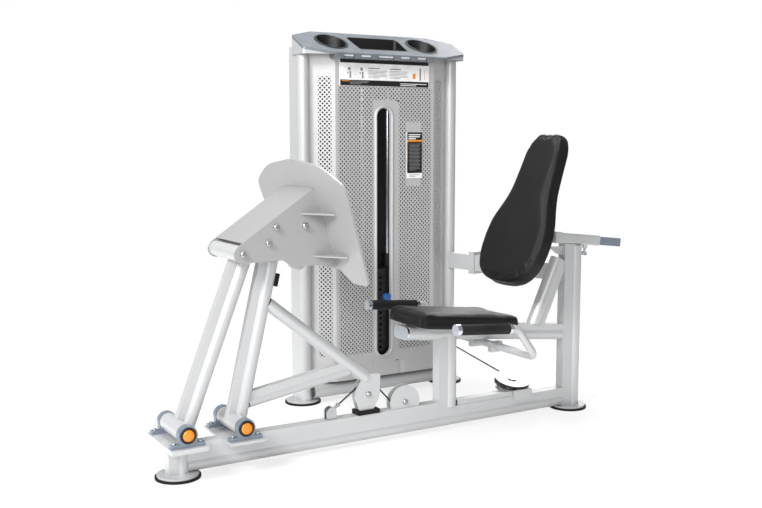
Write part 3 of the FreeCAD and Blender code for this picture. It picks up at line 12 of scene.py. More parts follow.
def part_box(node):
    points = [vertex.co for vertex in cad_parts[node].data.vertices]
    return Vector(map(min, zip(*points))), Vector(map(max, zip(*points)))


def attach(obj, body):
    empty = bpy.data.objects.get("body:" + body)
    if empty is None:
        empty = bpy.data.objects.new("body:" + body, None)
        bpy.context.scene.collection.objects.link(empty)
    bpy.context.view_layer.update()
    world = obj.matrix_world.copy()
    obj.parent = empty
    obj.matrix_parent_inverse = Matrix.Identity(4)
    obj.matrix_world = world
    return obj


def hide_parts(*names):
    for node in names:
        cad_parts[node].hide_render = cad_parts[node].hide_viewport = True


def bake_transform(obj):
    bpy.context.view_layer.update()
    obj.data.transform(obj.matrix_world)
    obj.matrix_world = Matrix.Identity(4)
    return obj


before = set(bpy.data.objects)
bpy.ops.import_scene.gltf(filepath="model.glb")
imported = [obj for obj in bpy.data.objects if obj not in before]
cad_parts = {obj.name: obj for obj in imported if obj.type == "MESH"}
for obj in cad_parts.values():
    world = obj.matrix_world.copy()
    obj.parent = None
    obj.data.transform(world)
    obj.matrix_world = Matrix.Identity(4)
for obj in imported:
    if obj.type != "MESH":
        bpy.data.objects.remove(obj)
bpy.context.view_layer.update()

bl_info = {
    "name": "Leg machine dressing",
    "version": (1, 0, 0),
    "blender": (4, 5, 0),
    "location": "View3D > Sidebar > Leg machine",
    "description": "Builds the visible pieces of a seated leg machine round its packed frame",
    "category": "Object",
}


# ---------------------------------------------------------------- colours and node helpers

def linear(code):
    """Scene-linear colour of an sRGB hex code."""
    parts = [int(code[i:i + 2], 16) / 255 for i in (1, 3, 5)]
    return tuple(c / 12.92 if c <= 0.04045 else ((c + 0.055) / 1.055) ** 2.4 for c in parts) + (1.0,)


def colour_prop(name, code, note):
    return FloatVectorProperty(name=name, description=note, subtype="COLOR", size=4, min=0, max=1,
                               default=linear(code))


def length_prop(name, value, note):
    return FloatProperty(name=name, description=note, default=value, min=0, unit="LENGTH", precision=4)


class MachineColours(PropertyGroup):
    """Colours of the machine's finishes."""
    silver: colour_prop("Silver", "#BFC0C1", "Satin silver powder coat of the tubes")
    pale: colour_prop("Pale grey", "#9D9D9D", "Satin coat of the carriage and the foot plate")
    guard: colour_prop("Guard grey", "#BDBDBD", "Coat of the perforated guards")
    cap: colour_prop("Cap grey", "#7F858C", "Blue-grey moulding of the tower cap")
    housing: colour_prop("Housing", "#7E8894", "Paint of the bearing housings")
    black: colour_prop("Black", "#0E0E0E", "Black plastic and rubber")
    vinyl: colour_prop("Vinyl", "#070708", "Upholstery")
    orange: colour_prop("Orange", "#D98410", "Bearing end caps")
    knob: colour_prop("Knob blue", "#1B5FA6", "Selector knob")


class PerforationSizes(PropertyGroup):
    """Sizes of the staggered holes in the guards."""
    pitch: length_prop("Pitch", 0.0180, "Distance between holes in one row")
    hole: length_prop("Hole radius", 0.0040, "Radius of each hole")
    sheet: length_prop("Sheet", 0.0020, "Thickness of the guard sheet")


class CushionSizes(PropertyGroup):
    """How the seat and back cushions are filled."""
    voxel: length_prop("Cell", 0.0055, "Size of the cells that the cover is divided into")
    swell: length_prop("Swell", 0.007, "Furthest that the filling pushes the cover")
    inset: length_prop("Inset", 0.0025, "How much smaller the cover starts than the finished cushion")
    frames: IntProperty(name="Settling steps", description="Steps that the cover settles for",
                        default=20, min=1)


class FixingSizes(PropertyGroup):
    """Sizes of the button-head screws."""
    large: length_prop("Large head", 0.0105, "Radius of the carriage screw heads")
    small: length_prop("Small head", 0.0060, "Radius of the bracket screw heads")


def new_material(name):
    """Material with one Principled shader; returns its material, node tree and shader."""
    material = bpy.data.materials.new(name)
    material.use_nodes = True
    shader = material.node_tree.nodes["Principled BSDF"]
    return material, material.node_tree, shader


def add(tree, kind, **values):
    """Adds a node and sets its attributes, and its input sockets given as name=value pairs in 'sockets'."""
    made = tree.nodes.new(kind)
    for socket, value in values.pop("sockets", {}).items():
        made.inputs[socket].default_value = value
    for key, value in values.items():
        setattr(made, key, value)
    return made


def object_noise(tree, scale, detail=2.0, roughness=0.5, stretch=(1, 1, 1)):
    """Noise in object space, so it keeps its real size."""
    where = add(tree, "ShaderNodeTexCoord")
    mapping = add(tree, "ShaderNodeMapping", sockets={"Scale": stretch})
    noise = add(tree, "ShaderNodeTexNoise",
                sockets={"Scale": scale, "Detail": detail, "Roughness": roughness})
    tree.links.new(where.outputs["Object"], mapping.inputs["Vector"])
    tree.links.new(mapping.outputs["Vector"], noise.inputs["Vector"])
    return noise


def tint(tree, shader, factor, dark, light):
    """Base colour that runs from dark to light with factor."""
    ramp = add(tree, "ShaderNodeValToRGB")
    for stop, position, colour in zip(ramp.color_ramp.elements, (0.35, 0.65), (dark, light)):
        stop.position, stop.color = position, colour
    tree.links.new(factor, ramp.inputs["Fac"])
    tree.links.new(ramp.outputs["Color"], shader.inputs["Base Color"])


def bump(tree, shader, height, distance):
    """Surface relief of a real height in metres."""
    node = add(tree, "ShaderNodeBump", sockets={"Distance": distance, "Strength": 1.0})
    tree.links.new(height, node.inputs["Height"])
    tree.links.new(node.outputs["Normal"], shader.inputs["Normal"])


def rough_range(tree, shader, factor, low, high):
    """Roughness that varies between two values."""
    spread = add(tree, "ShaderNodeMapRange", sockets={"To Min": low, "To Max": high})
    tree.links.new(factor, spread.inputs["Value"])
    tree.links.new(spread.outputs["Result"], shader.inputs["Roughness"])


def shade(colour, factor):
    """The colour made lighter or darker."""
    return tuple(min(1, c * factor) for c in colour[:3]) + (1.0,)


# ---------------------------------------------------------------- finishes

def powder_coat(name, colour, metallic=0.25, roughness=0.36):
    """Satin powder coat: a fine orange peel breaks up the highlights and faint flakes vary the tone."""
    material, tree, shader = new_material(name)
    colour = tuple(colour)
    flakes = object_noise(tree, 1400, detail=1)
    tint(tree, shader, flakes.outputs["Fac"], shade(colour, 0.94), shade(colour, 1.05))
    shader.inputs["Metallic"].default_value = metallic
    shader.inputs["Coat Weight"].default_value = 0.18
    shader.inputs["Coat Roughness"].default_value = 0.22
    handling = object_noise(tree, 9, detail=4, roughness=0.6)
    rough_range(tree, shader, handling.outputs["Fac"], roughness - 0.05, roughness + 0.07)
    peel = object_noise(tree, 620, detail=2)
    bump(tree, shader, peel.outputs["Fac"], 0.00009)
    return material


def bright_metal(name, colour, roughness, streak):
    """Plated steel: near-mirror with faint drawn streaks that stretch its reflections."""
    material, tree, shader = new_material(name)
    colour = tuple(colour)
    lines = object_noise(tree, 260, detail=3, stretch=streak)
    tint(tree, shader, lines.outputs["Fac"], shade(colour, 0.9), colour)
    shader.inputs["Metallic"].default_value = 1.0
    rough_range(tree, shader, lines.outputs["Fac"], roughness * 0.8, roughness * 1.3)
    bump(tree, shader, lines.outputs["Fac"], 0.00002)
    return material


def moulded(name, colour, roughness, grain=0.00006, coat=0.0, metallic=0.0):
    """Moulded plastic: a fine spark-eroded grain takes the edge off its gloss."""
    material, tree, shader = new_material(name)
    colour = tuple(colour)
    cloud = object_noise(tree, 22, detail=3)
    tint(tree, shader, cloud.outputs["Fac"], shade(colour, 0.9), shade(colour, 1.08))
    shader.inputs["Metallic"].default_value = metallic
    shader.inputs["Coat Weight"].default_value = coat
    shader.inputs["Coat Roughness"].default_value = 0.12
    skin = object_noise(tree, 900, detail=2)
    rough_range(tree, shader, cloud.outputs["Fac"], roughness - 0.04, roughness + 0.06)
    bump(tree, shader, skin.outputs["Fac"], grain)
    return material


def two_tone(material, under, normal, level):
    """Keeps the material's own colour beyond a plane, and takes the colour under on its near side."""
    tree = material.node_tree
    shader = tree.nodes["Principled BSDF"]
    coat = shader.inputs["Base Color"].links[0].from_socket
    where = add(tree, "ShaderNodeTexCoord")
    reach = add(tree, "ShaderNodeVectorMath", operation="DOT_PRODUCT", sockets={1: normal})
    beyond = add(tree, "ShaderNodeMath", operation="GREATER_THAN", sockets={1: level})
    mix = add(tree, "ShaderNodeMix", data_type="RGBA")
    near, far = [i for i in mix.inputs if i.type == "RGBA"]
    near.default_value = tuple(under)
    tree.links.new(where.outputs["Object"], reach.inputs[0])
    tree.links.new(reach.outputs["Value"], beyond.inputs[0])
    tree.links.new(beyond.outputs["Value"], mix.inputs[0])
    tree.links.new(coat, far)
    tree.links.new([o for o in mix.outputs if o.type == "RGBA"][0], shader.inputs["Base Color"])
    return material


def upholstery_vinyl(name, colour):
    """Upholstery vinyl: pebbled grain with fine creases, soft sheen along its crowns."""
    material, tree, shader = new_material(name)
    colour = tuple(colour)
    where = add(tree, "ShaderNodeTexCoord")
    pebbles = add(tree, "ShaderNodeTexVoronoi", feature="DISTANCE_TO_EDGE", sockets={"Scale": 520})
    tree.links.new(where.outputs["Object"], pebbles.inputs["Vector"])
    level = add(tree, "ShaderNodeMapRange", sockets={"From Max": 0.25})
    tree.links.new(pebbles.outputs["Distance"], level.inputs["Value"])
    creases = object_noise(tree, 46, detail=6, roughness=0.62)
    joined = add(tree, "ShaderNodeMath", operation="MULTIPLY_ADD", sockets={1: 0.55})
    tree.links.new(creases.outputs["Fac"], joined.inputs[0])
    tree.links.new(level.outputs["Result"], joined.inputs[2])
    bump(tree, shader, joined.outputs["Value"], 0.00022)
    wear = object_noise(tree, 7, detail=3)
    tint(tree, shader, wear.outputs["Fac"], shade(colour, 0.8), shade(colour, 1.5))
    rough_range(tree, shader, creases.outputs["Fac"], 0.36, 0.52)
    shader.inputs["Specular IOR Level"].default_value = 0.32
    return material


def cast_iron_plate(name, colour):
    """Enamelled iron plate: a slightly lumpy skin that shows the casting."""
    material, tree, shader = new_material(name)
    lumps = object_noise(tree, 120, detail=5, roughness=0.6)
    tint(tree, shader, lumps.outputs["Fac"], shade(tuple(colour), 0.7), shade(tuple(colour), 1.5))
    rough_range(tree, shader, lumps.outputs["Fac"], 0.38, 0.55)
    bump(tree, shader, lumps.outputs["Fac"], 0.0004)
    return material


def cable_jacket(name, colour):
    """Nylon cable jacket: the twisted strands inside show as a faint spiral relief."""
    material, tree, shader = new_material(name)
    where = add(tree, "ShaderNodeTexCoord")
    spiral = add(tree, "ShaderNodeTexWave", bands_direction="DIAGONAL",
                 sockets={"Scale": 90, "Distortion": 0.4})
    tree.links.new(where.outputs["Object"], spiral.inputs["Vector"])
    tint(tree, shader, spiral.outputs["Fac"], shade(tuple(colour), 0.7), shade(tuple(colour), 1.6))
    shader.inputs["Roughness"].default_value = 0.34
    shader.inputs["Coat Weight"].default_value = 0.3
    bump(tree, shader, spiral.outputs["Fac"], 0.0002)
    return material


def ribbed_rubber(name, colour, scale=620):
    """Soft rubber: dull, with a faint stipple and dust in its low places."""
    material, tree, shader = new_material(name)
    shader.inputs["Specular IOR Level"].default_value = 0.25
    stipple = object_noise(tree, scale, detail=2)
    dust = object_noise(tree, 14, detail=5)
    tint(tree, shader, dust.outputs["Fac"], shade(tuple(colour), 0.75), shade(tuple(colour), 1.7))
    rough_range(tree, shader, dust.outputs["Fac"], 0.58, 0.78)
    bump(tree, shader, stipple.outputs["Fac"], 0.00018)
    return material


FINISH = {}
# the tower cap: front edge of its lid, slope of the lid and depth of its coloured edge
CAP_FRONT, CAP_RISE, CAP_EDGE = Vector((1.112, 0.497, 1.436)), 96 / 189, 0.011


def make_finishes(colours):
    """Every finish of the machine, by the short name that the pieces use."""
    black = tuple(colours.black)
    # painted shade: the inner face of the rear panel is painted dark, so the view through the slot and the
    # holes reads as the shaded inside of the tower
    panel_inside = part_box("rear_panel")[1][1] - 0.0008
    # the cap's skirt, below the edge of its sloping lid, is coated like the posts
    lid_level = CAP_FRONT.z - CAP_EDGE - CAP_FRONT.y * CAP_RISE
    FINISH.update(
        silver=powder_coat("silver_powder_coat", colours.silver),
        pale=powder_coat("pale_powder_coat", colours.pale, metallic=0.12, roughness=0.40),
        guard=powder_coat("guard_powder_coat", colours.guard, metallic=0.15, roughness=0.42),
        # painted shade: dark grey on the inner face of the rear panel; its outer face keeps the guard coat
        shroud=two_tone(powder_coat("rear_shroud_coat_and_painted_shade", colours.guard, metallic=0.15, roughness=0.42),
                        linear("#2C2D2F"), (0, 1, 0), panel_inside),
        housing=powder_coat("bearing_housing_paint", colours.housing, metallic=0.3, roughness=0.38),
        cap=moulded("cap_moulding", colours.cap, 0.34, coat=0.35, metallic=0.35),
        lid=two_tone(moulded("cap_lid", colours.cap, 0.34, coat=0.35, metallic=0.35), colours.silver,
                     (0, -CAP_RISE, 1), lid_level),
        chrome=bright_metal("chrome_plate", linear("#D9DEE6"), 0.13, (1, 1, 0.06)),
        zinc=bright_metal("zinc_plate", linear("#B9BBBD"), 0.30, (1, 1, 1)),
        iron=cast_iron_plate("enamelled_iron", linear("#161617")),
        rubber=ribbed_rubber("black_rubber", black),
        grip=ribbed_rubber("grip_rubber", linear("#1A1A1B"), scale=380),
        plastic=moulded("black_moulding", black, 0.46),
        gloss=moulded("gloss_black_moulding", linear("#101011"), 0.22, coat=0.5),
        orange=moulded("orange_moulding", colours.orange, 0.30, coat=0.3),
        knob=moulded("blue_moulding", colours.knob, 0.28, coat=0.4),
        vinyl=upholstery_vinyl("upholstery_vinyl", colours.vinyl),
        thread=ribbed_rubber("seam_thread", linear("#1E1E20")),
        nylon=moulded("pulley_nylon", linear("#B9BBBC"), 0.40),
        cable=cable_jacket("cable_jacket", linear("#121212")),
        laminate=moulded("placard_laminate", linear("#F1F1F0"), 0.30, coat=0.3, grain=0.00002),
        ink=moulded("placard_ink", linear("#131313"), 0.35, grain=0.00002),
        grey_ink=moulded("placard_grey_ink", linear("#8C8E90"), 0.4, grain=0.00002),
        orange_ink=moulded("placard_orange_ink", linear("#E08A2C"), 0.4, grain=0.00002),
    )


CAD_FINISH = {
    "silver": ("base_beam", "seat_post", "rear_post", "seat_beam", "back_brace", "rear_arm_tube",
               "front_arm_tube", "rear_arm_hubs", "front_arm_hubs", "lever_triangle", "lever_cheeks",
               "pulley_brackets", "cable_channel", "seat_brackets", "handle_tube", "slide_sleeve",
               "back_bracket", "tower_posts", "tower_tubes", "bearing_plates", "foot_plates"),
    "pale": ("carriage_plates", "foot_plate"),
    "guard": ("front_panel",),
    "shroud": ("rear_panel",),
    "housing": ("pillow_bearings", "slide_bar"),
    "cap": ("cap_fascia",),
    "lid": ("tower_cap",),
    "chrome": ("chrome_caps", "guide_rods", "selector_pin", "slide_pin"),
    "zinc": ("cable_anchor", "pulley_axles", "carriage_bolts"),
    "iron": ("resting_plates", "lifted_plates", "stack_head"),
    "rubber": ("foot_pads", "rubber_stops", "arm_bumper", "handle_grips"),
    "plastic": ("bearing_seals", "cap_liners"),
    "gloss": ("turn_pulley_cover",),
    "orange": ("bearing_caps",),
    "vinyl": ("seat_pad", "back_pad"),
    "nylon": ("lever_pulley", "beam_pulley", "turn_pulley", "tower_pulley", "top_pulley_rear",
              "top_pulley_middle"),
    "cable": ("cable_lever_run", "cable_main_run", "cable_stack_run"),
    "laminate": ("placards",),
}


# ---------------------------------------------------------------- mesh helpers

def linked(name, data):
    """New object of the data, in the scene."""
    made = bpy.data.objects.new(name, data)
    bpy.context.scene.collection.objects.link(made)
    return made


def smoothed(piece):
    """The piece with every face shaded smooth."""
    piece.data.polygons.foreach_set("use_smooth", [True] * len(piece.data.polygons))
    return piece


def mesh_object(name, verts, faces, finish, smooth=None):
    """Closed-up mesh at the origin; smooth is the angle in degrees below which edges are shaded smooth."""
    mesh = bpy.data.meshes.new(name)
    mesh.from_pydata([tuple(v) for v in verts], [], faces)
    tool = bmesh.new()
    tool.from_mesh(mesh)
    bmesh.ops.remove_doubles(tool, verts=tool.verts, dist=1e-6)
    bmesh.ops.recalc_face_normals(tool, faces=tool.faces)
    tool.to_mesh(mesh)
    tool.free()
    mesh.materials.append(FINISH[finish])
    made = linked(name, mesh)
    if smooth is not None:
        smoothed(made)
        mesh.set_sharp_from_angle(angle=math.radians(smooth))
    return made


def wear(piece, body, slot, *nodes):
    """The piece rides on a body and stands for the named nodes; the slot argument is not used."""
    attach(piece, body)
    if nodes:
        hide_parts(*nodes)
    return piece


def along(direction, origin):
    """Matrix whose Z axis follows direction, at origin."""
    turn = Vector(direction).to_track_quat("Z", "Y").to_matrix().to_4x4()
    return Matrix.Translation(Vector(origin)) @ turn


def ring_faces(count, rings):
    """Faces between neighbouring rings of count points, and over both ends."""
    ends = [tuple(reversed(range(count))), tuple(range((rings - 1) * count, rings * count))]
    return ends + [(ring * count + i, ring * count + j, (ring + 1) * count + j, (ring + 1) * count + i)
                   for ring in range(rings - 1) for i, j in ((k, (k + 1) % count) for k in range(count))]


def lathe(profile, segments=32, hex_from=None):
    """Turned shape about Z from (radius, height) pairs; rings from hex_from on follow a hexagon."""
    verts = []
    for ring, (radius, height) in enumerate(profile):
        for step in range(segments):
            angle = 2 * math.pi * step / segments
            reach = radius
            if hex_from is not None and ring >= hex_from:
                reach = radius / math.cos((angle + math.pi / 6) % (math.pi / 3) - math.pi / 6)
            verts.append((reach * math.cos(angle), reach * math.sin(angle), height))
    return verts, ring_faces(segments, len(profile))


def moved(shape, matrix):
    """The shape under a matrix."""
    verts, faces = shape
    return [matrix @ Vector(v) for v in verts], faces


def joined(shapes):
    """One list of vertices and faces from several."""
    verts, faces = [], []
    for more_verts, more_faces in shapes:
        start = len(verts)
        verts += list(more_verts)
        faces += [tuple(i + start for i in face) for face in more_faces]
    return verts, faces


def rounded_outline(points, radii, steps=8):
    """Closed outline through 2D points whose corners are rounded by the given radii."""
    outline = []
    count = len(points)
    for i, (point, radius) in enumerate(zip(points, radii)):
        corner = Vector(point)
        before = (Vector(points[i - 1]) - corner).normalized()
        after = (Vector(points[(i + 1) % count]) - corner).normalized()
        half = before.angle(after) / 2
        if radius <= 0 or half > math.pi / 2 - 0.01:
            outline.append(corner)
            continue
        reach = radius / math.tan(half)
        first, last = corner + before * reach, corner + after * reach
        middle = corner + (before + after).normalized() * (radius / math.sin(half))
        start = first - middle
        sweep = start.angle_signed(last - middle)
        for step in range(steps + 1):
            turn = -sweep * step / steps
            spin = Matrix.Rotation(turn, 2)
            outline.append(middle + spin @ start)
    return outline


def prism(outline, low, high):
    """Solid between two heights over an outline."""
    return [(p[0], p[1], height) for height in (low, high) for p in outline], ring_faces(len(outline), 2)


def block(low, high):
    """Box between two corners."""
    corners = [(low[0], low[1]), (high[0], low[1]), (high[0], high[1]), (low[0], high[1])]
    return prism(corners, low[2], high[2])


def baked(piece, name):
    """Plain mesh of a piece with its modifiers applied; the piece itself is removed."""
    bpy.context.view_layer.update()
    shape = piece.evaluated_get(bpy.context.evaluated_depsgraph_get())
    mesh = bpy.data.meshes.new_from_object(shape)
    bpy.data.objects.remove(piece)
    return linked(name, mesh)


def swept(name, places, radius, finish, closed=False):
    """Round cord along a path: a closed one runs smoothly round, an open one has capped ends."""
    curve = bpy.data.curves.new(name, "CURVE")
    curve.dimensions, curve.bevel_depth, curve.bevel_resolution = "3D", radius, 3 if closed else 5
    curve.use_fill_caps = not closed
    spline = curve.splines.new("NURBS" if closed else "POLY")
    spline.points.add(len(places) - 1)
    for point, place in zip(spline.points, places):
        point.co = (*place, 1)
    if closed:
        spline.use_cyclic_u, spline.order_u = True, 3
    curve.materials.append(FINISH[finish])
    return smoothed(baked(linked(name + "_path", curve), name))


# ---------------------------------------------------------------- geometry node trees

def node_tree(name, inputs):
    """New geometry tree with its geometry sockets and the named inputs (name, socket type)."""
    tree = bpy.data.node_groups.new(name, "GeometryNodeTree")
    tree.interface.new_socket(name="Geometry", in_out="INPUT", socket_type="NodeSocketGeometry")
    for label, kind in inputs:
        tree.interface.new_socket(name=label, in_out="INPUT", socket_type=kind)
    tree.interface.new_socket(name="Geometry", in_out="OUTPUT", socket_type="NodeSocketGeometry")
    return tree, tree.nodes.new("NodeGroupInput"), tree.nodes.new("NodeGroupOutput")


def run_tree(piece, tree, values, name):
    """Applies a geometry tree with its inputs set by socket identifier, and bakes the result."""
    modifier = piece.modifiers.new("Repeat", "NODES")
    modifier.node_group = tree
    for item in tree.interface.items_tree:
        if item.in_out == "INPUT" and item.name in values:
            modifier[item.identifier] = values[item.name]
    return baked(piece, name)


def perforation_tree(finish):
    """Repeats one tile of perforated sheet over columns and rows."""
    sockets = [("Columns", "NodeSocketInt"), ("Rows", "NodeSocketInt"), ("Pitch", "NodeSocketFloat")]
    tree, given, result = node_tree("Perforated sheet", sockets)
    link = tree.links.new
    sizes = []
    for label in ("Columns", "Rows"):
        less = add(tree, "ShaderNodeMath", operation="SUBTRACT", sockets={1: 1.0})
        span = add(tree, "ShaderNodeMath", operation="MULTIPLY")
        link(given.outputs[label], less.inputs[0])
        link(less.outputs[0], span.inputs[0])
        link(given.outputs["Pitch"], span.inputs[1])
        sizes.append(span)
    grid = add(tree, "GeometryNodeMeshGrid")
    link(sizes[0].outputs[0], grid.inputs["Size X"])
    link(sizes[1].outputs[0], grid.inputs["Size Y"])
    link(given.outputs["Columns"], grid.inputs["Vertices X"])
    link(given.outputs["Rows"], grid.inputs["Vertices Y"])
    repeat = add(tree, "GeometryNodeInstanceOnPoints")
    link(grid.outputs["Mesh"], repeat.inputs["Points"])
    link(given.outputs["Geometry"], repeat.inputs["Instance"])
    return finish_tree(tree, repeat.outputs["Instances"], result, finish)


def finish_tree(tree, instances, result, finish):
    """Ends a tree with real, merged geometry in its material."""
    real = add(tree, "GeometryNodeRealizeInstances")
    merge = add(tree, "GeometryNodeMergeByDistance", sockets={"Distance": 1e-5})
    coat = add(tree, "GeometryNodeSetMaterial", sockets={"Material": FINISH[finish]})
    tree.links.new(instances, real.inputs["Geometry"])
    tree.links.new(real.outputs["Geometry"], merge.inputs["Geometry"])
    tree.links.new(merge.outputs["Geometry"], coat.inputs["Geometry"])
    tree.links.new(coat.outputs["Geometry"], result.inputs["Geometry"])
    return tree


def fixing_tree(finish):
    """Puts one copy of a fixing on every point, turned to the point's own facing direction."""
    tree, given, result = node_tree("Fixings", [("Fixing", "NodeSocketObject"), ("Scale", "NodeSocketFloat")])
    link = tree.links.new
    shape = add(tree, "GeometryNodeObjectInfo")
    link(given.outputs["Fixing"], shape.inputs["Object"])
    facing = add(tree, "GeometryNodeInputNamedAttribute", data_type="FLOAT_VECTOR",
                 sockets={"Name": "facing"})
    turn = add(tree, "FunctionNodeAlignRotationToVector", axis="Z")
    link(facing.outputs["Attribute"], turn.inputs["Vector"])
    repeat = add(tree, "GeometryNodeInstanceOnPoints")
    link(given.outputs["Geometry"], repeat.inputs["Points"])
    link(shape.outputs["Geometry"], repeat.inputs["Instance"])
    link(turn.outputs["Rotation"], repeat.inputs["Rotation"])
    link(given.outputs["Scale"], repeat.inputs["Scale"])
    return finish_tree(tree, repeat.outputs["Instances"], result, finish)


def scatter(name, shape, spots, finish, smooth=35, scale=1.0):
    """One piece made of a copy of shape at each (place, facing) pair."""
    fixing = mesh_object(name + "_one", *shape, finish, smooth)
    cloud = bpy.data.meshes.new(name + "_points")
    cloud.from_pydata([tuple(place) for place, _ in spots], [], [])
    facing = cloud.attributes.new("facing", "FLOAT_VECTOR", "POINT")
    facing.data.foreach_set("vector", [c for _, direction in spots for c in direction])
    source = linked(name + "_points", cloud)
    made = run_tree(source, fixing_tree(finish), {"Fixing": fixing, "Scale": scale}, name)
    bpy.data.objects.remove(fixing)
    return made


# ---------------------------------------------------------------- places, read from the frame

SEAT_TILT = math.radians(6.1)
SEAT_FRONT = Vector((0.865, 0, 0.391))
SEAT_BOARD_TOP = 0.0283
BACK_LEAN = math.radians(23.5)
BACK_BASE = Vector((1.288, 0, 0.545))
CARRIAGE_BOLTS = ((0.191, 0.730), (0.308, 0.811), (0.280, 0.761), (0.412, 0.812))
CARRIAGE_HALF = 0.115
# each arm pivot with the height of its mounting plate's top
PIVOTS = ((Vector((0, 0, 0.166)), 0.127), (Vector((0.198, 0, 0.159)), 0.120))
BEARING_END = 0.106
ANCHOR = Vector((0.563, 0, 0.136))
LEVER_PULLEY = Vector((0.711, 0, 0.184))
BEAM_PULLEY = Vector((0.867, 0, 0.134))
LEVER_GROOVE, BEAM_GROOVE = 0.045, 0.035
TERMINAL_LENGTH = 0.040
CABLE_RADIUS = 0.003
SEAM_RADIUS = 0.0013
GRIP_START = Vector((0.905, 0, 0.446))
GRIP_SLOPE = math.radians(4.5)
GRIP_SIDE = 0.300
WING_WIDTH, WING_DEPTH = 0.094, 0.050
SLOT_X, SLOT_LOW, SLOT_HIGH, SLOT_RADIUS = 1.118, 0.174, 1.221, 0.034


def falling(angle):
    """Unit vector along +X that falls by angle, and the unit vector square to it and upwards."""
    ahead = Vector((math.cos(angle), 0, -math.sin(angle)))
    return ahead, Vector((-ahead.z, 0, ahead.x))


def frame_of(origin, x_axis, y_axis, z_axis):
    """Matrix that takes local axes to the given ones."""
    turn = Matrix((x_axis, y_axis, z_axis)).transposed().to_4x4()
    return Matrix.Translation(origin) @ turn


def seat_frame():
    """X runs back along the seat cushion, Y across it and Z up through its thickness."""
    ahead, up = falling(SEAT_TILT)
    return frame_of(SEAT_FRONT + up * SEAT_BOARD_TOP, ahead, Vector((0, 1, 0)), up)


def back_frame():
    """X runs up the back cushion, Y across it and Z into its thickness, away from the rider."""
    up = Vector((math.sin(BACK_LEAN), 0, math.cos(BACK_LEAN)))
    behind = Vector((math.cos(BACK_LEAN), 0, -math.sin(BACK_LEAN)))
    return frame_of(BACK_BASE, up, Vector((0, 1, 0)), behind)


# ---------------------------------------------------------------- guard panel

def perforated_tile(pitch, hole, sheet):
    """Square tile of sheet with a hole in its middle and a quarter hole at each corner."""
    cut = hole / math.sqrt(2)
    half = pitch / 2
    ring = []
    for turn in range(4):
        spin = Matrix.Rotation(math.pi / 2 * turn, 2)
        for corner in ((-half, -half + hole), (-half + cut, -half + cut), (-half + hole, -half)):
            ring.append(spin @ Vector(corner))
    middle = [Vector((hole * math.cos(a), hole * math.sin(a)))
              for a in (math.radians(195 + 30 * i) for i in range(12))]
    verts = []
    for height in (0, -sheet):
        verts += [(p.x, p.y, height) for p in ring] + [(p.x, p.y, height) for p in middle]
    faces = []
    for i in range(12):
        j = (i + 1) % 12
        faces.append((i, j, 12 + j, 12 + i))
        faces.append((24 + j, 24 + i, 36 + i, 36 + j))
        faces.append((12 + i, 12 + j, 36 + j, 36 + i))
        if i % 3 != 2:
            faces.append((j, i, 24 + i, 24 + j))
    return verts, faces


def perforated_field(name, low, columns, rows, sizes, matrix):
    """Perforated patch whose lowest corner is at low in the sheet's own plane."""
    tile = mesh_object(name + "_tile", *perforated_tile(sizes.pitch, sizes.hole, sizes.sheet), "guard")
    patch = run_tree(tile, perforation_tree("guard"),
                     {"Columns": columns, "Rows": rows, "Pitch": sizes.pitch}, name)
    middle = Vector((low[0] + columns * sizes.pitch / 2, low[1] + rows * sizes.pitch / 2, 0))
    patch.data.transform(matrix @ Matrix.Translation(middle))
    return patch


def stadium(centre_x, low, high, radius, steps=14):
    """Slot outline with round ends, counter-clockwise from its lower right."""
    points = []
    for middle, first in ((high - radius, 0), (low + radius, math.pi)):
        for step in range(steps + 1):
            angle = first + math.pi * step / steps
            points.append(Vector((centre_x + radius * math.cos(angle), middle + radius * math.sin(angle))))
    return points


def slot_surround(box_low, box_high, slot, sheet, matrix):
    """Sheet between a rectangle and the slot inside it."""
    def edge_point(point):
        middle = Vector((SLOT_X, min(max(point.y, SLOT_LOW + SLOT_RADIUS), SLOT_HIGH - SLOT_RADIUS)))
        away = point - middle
        reach = []
        for axis in (0, 1):
            if abs(away[axis]) > 1e-9:
                reach.append(((box_high if away[axis] > 0 else box_low)[axis] - middle[axis]) / away[axis])
        return middle + away * min(reach)

    outer = [edge_point(p) for p in slot]
    count = len(slot)
    verts = [matrix @ Vector((p.x, p.y, z)) for z in (0, -sheet) for p in slot + outer]
    faces = []
    for i in range(count):
        j = (i + 1) % count
        faces.append((i, count + i, count + j, j))
        faces.append((2 * count + j, 3 * count + j, 3 * count + i, 2 * count + i))
        faces.append((j, 2 * count + j, 2 * count + i, i))
    return verts, faces


def rolled_rim(slot, matrix):
    """Rounded lip that runs round the slot, swept from a small half-round section."""
    count = len(slot)
    section = [(0.0, -0.014), (-0.0006, 0.0004), (0.0022, 0.0042), (0.0058, 0.0056), (0.0095, 0.0040),
               (0.0130, 0.0002)]
    verts = []
    for i, point in enumerate(slot):
        tangent = (slot[(i + 1) % count] - slot[i - 1]).normalized()
        outward = Vector((tangent.y, -tangent.x))
        for offset, height in section:
            at = point + outward * offset
            verts.append(matrix @ Vector((at.x, at.y, height)))
    wide = len(section)
    faces = []
    for i in range(count):
        j = (i + 1) % count
        for k in range(wide - 1):
            faces.append((i * wide + k, i * wide + k + 1, j * wide + k + 1, j * wide + k))
    return verts, faces


def sheet_cells(lines_x, lines_z, openings, sheet, matrix):
    """Plain parts of a sheet: the cells between the lines that lie in none of the openings."""
    shapes = []
    for x0, x1 in zip(lines_x, lines_x[1:]):
        for z0, z1 in zip(lines_z, lines_z[1:]):
            middle = ((x0 + x1) / 2, (z0 + z1) / 2)
            if not any(a[0] < middle[0] < a[2] and a[1] < middle[1] < a[3] for a in openings):
                shapes.append(moved(block((x0, z0, -sheet), (x1, z1, 0)), matrix))
    return shapes


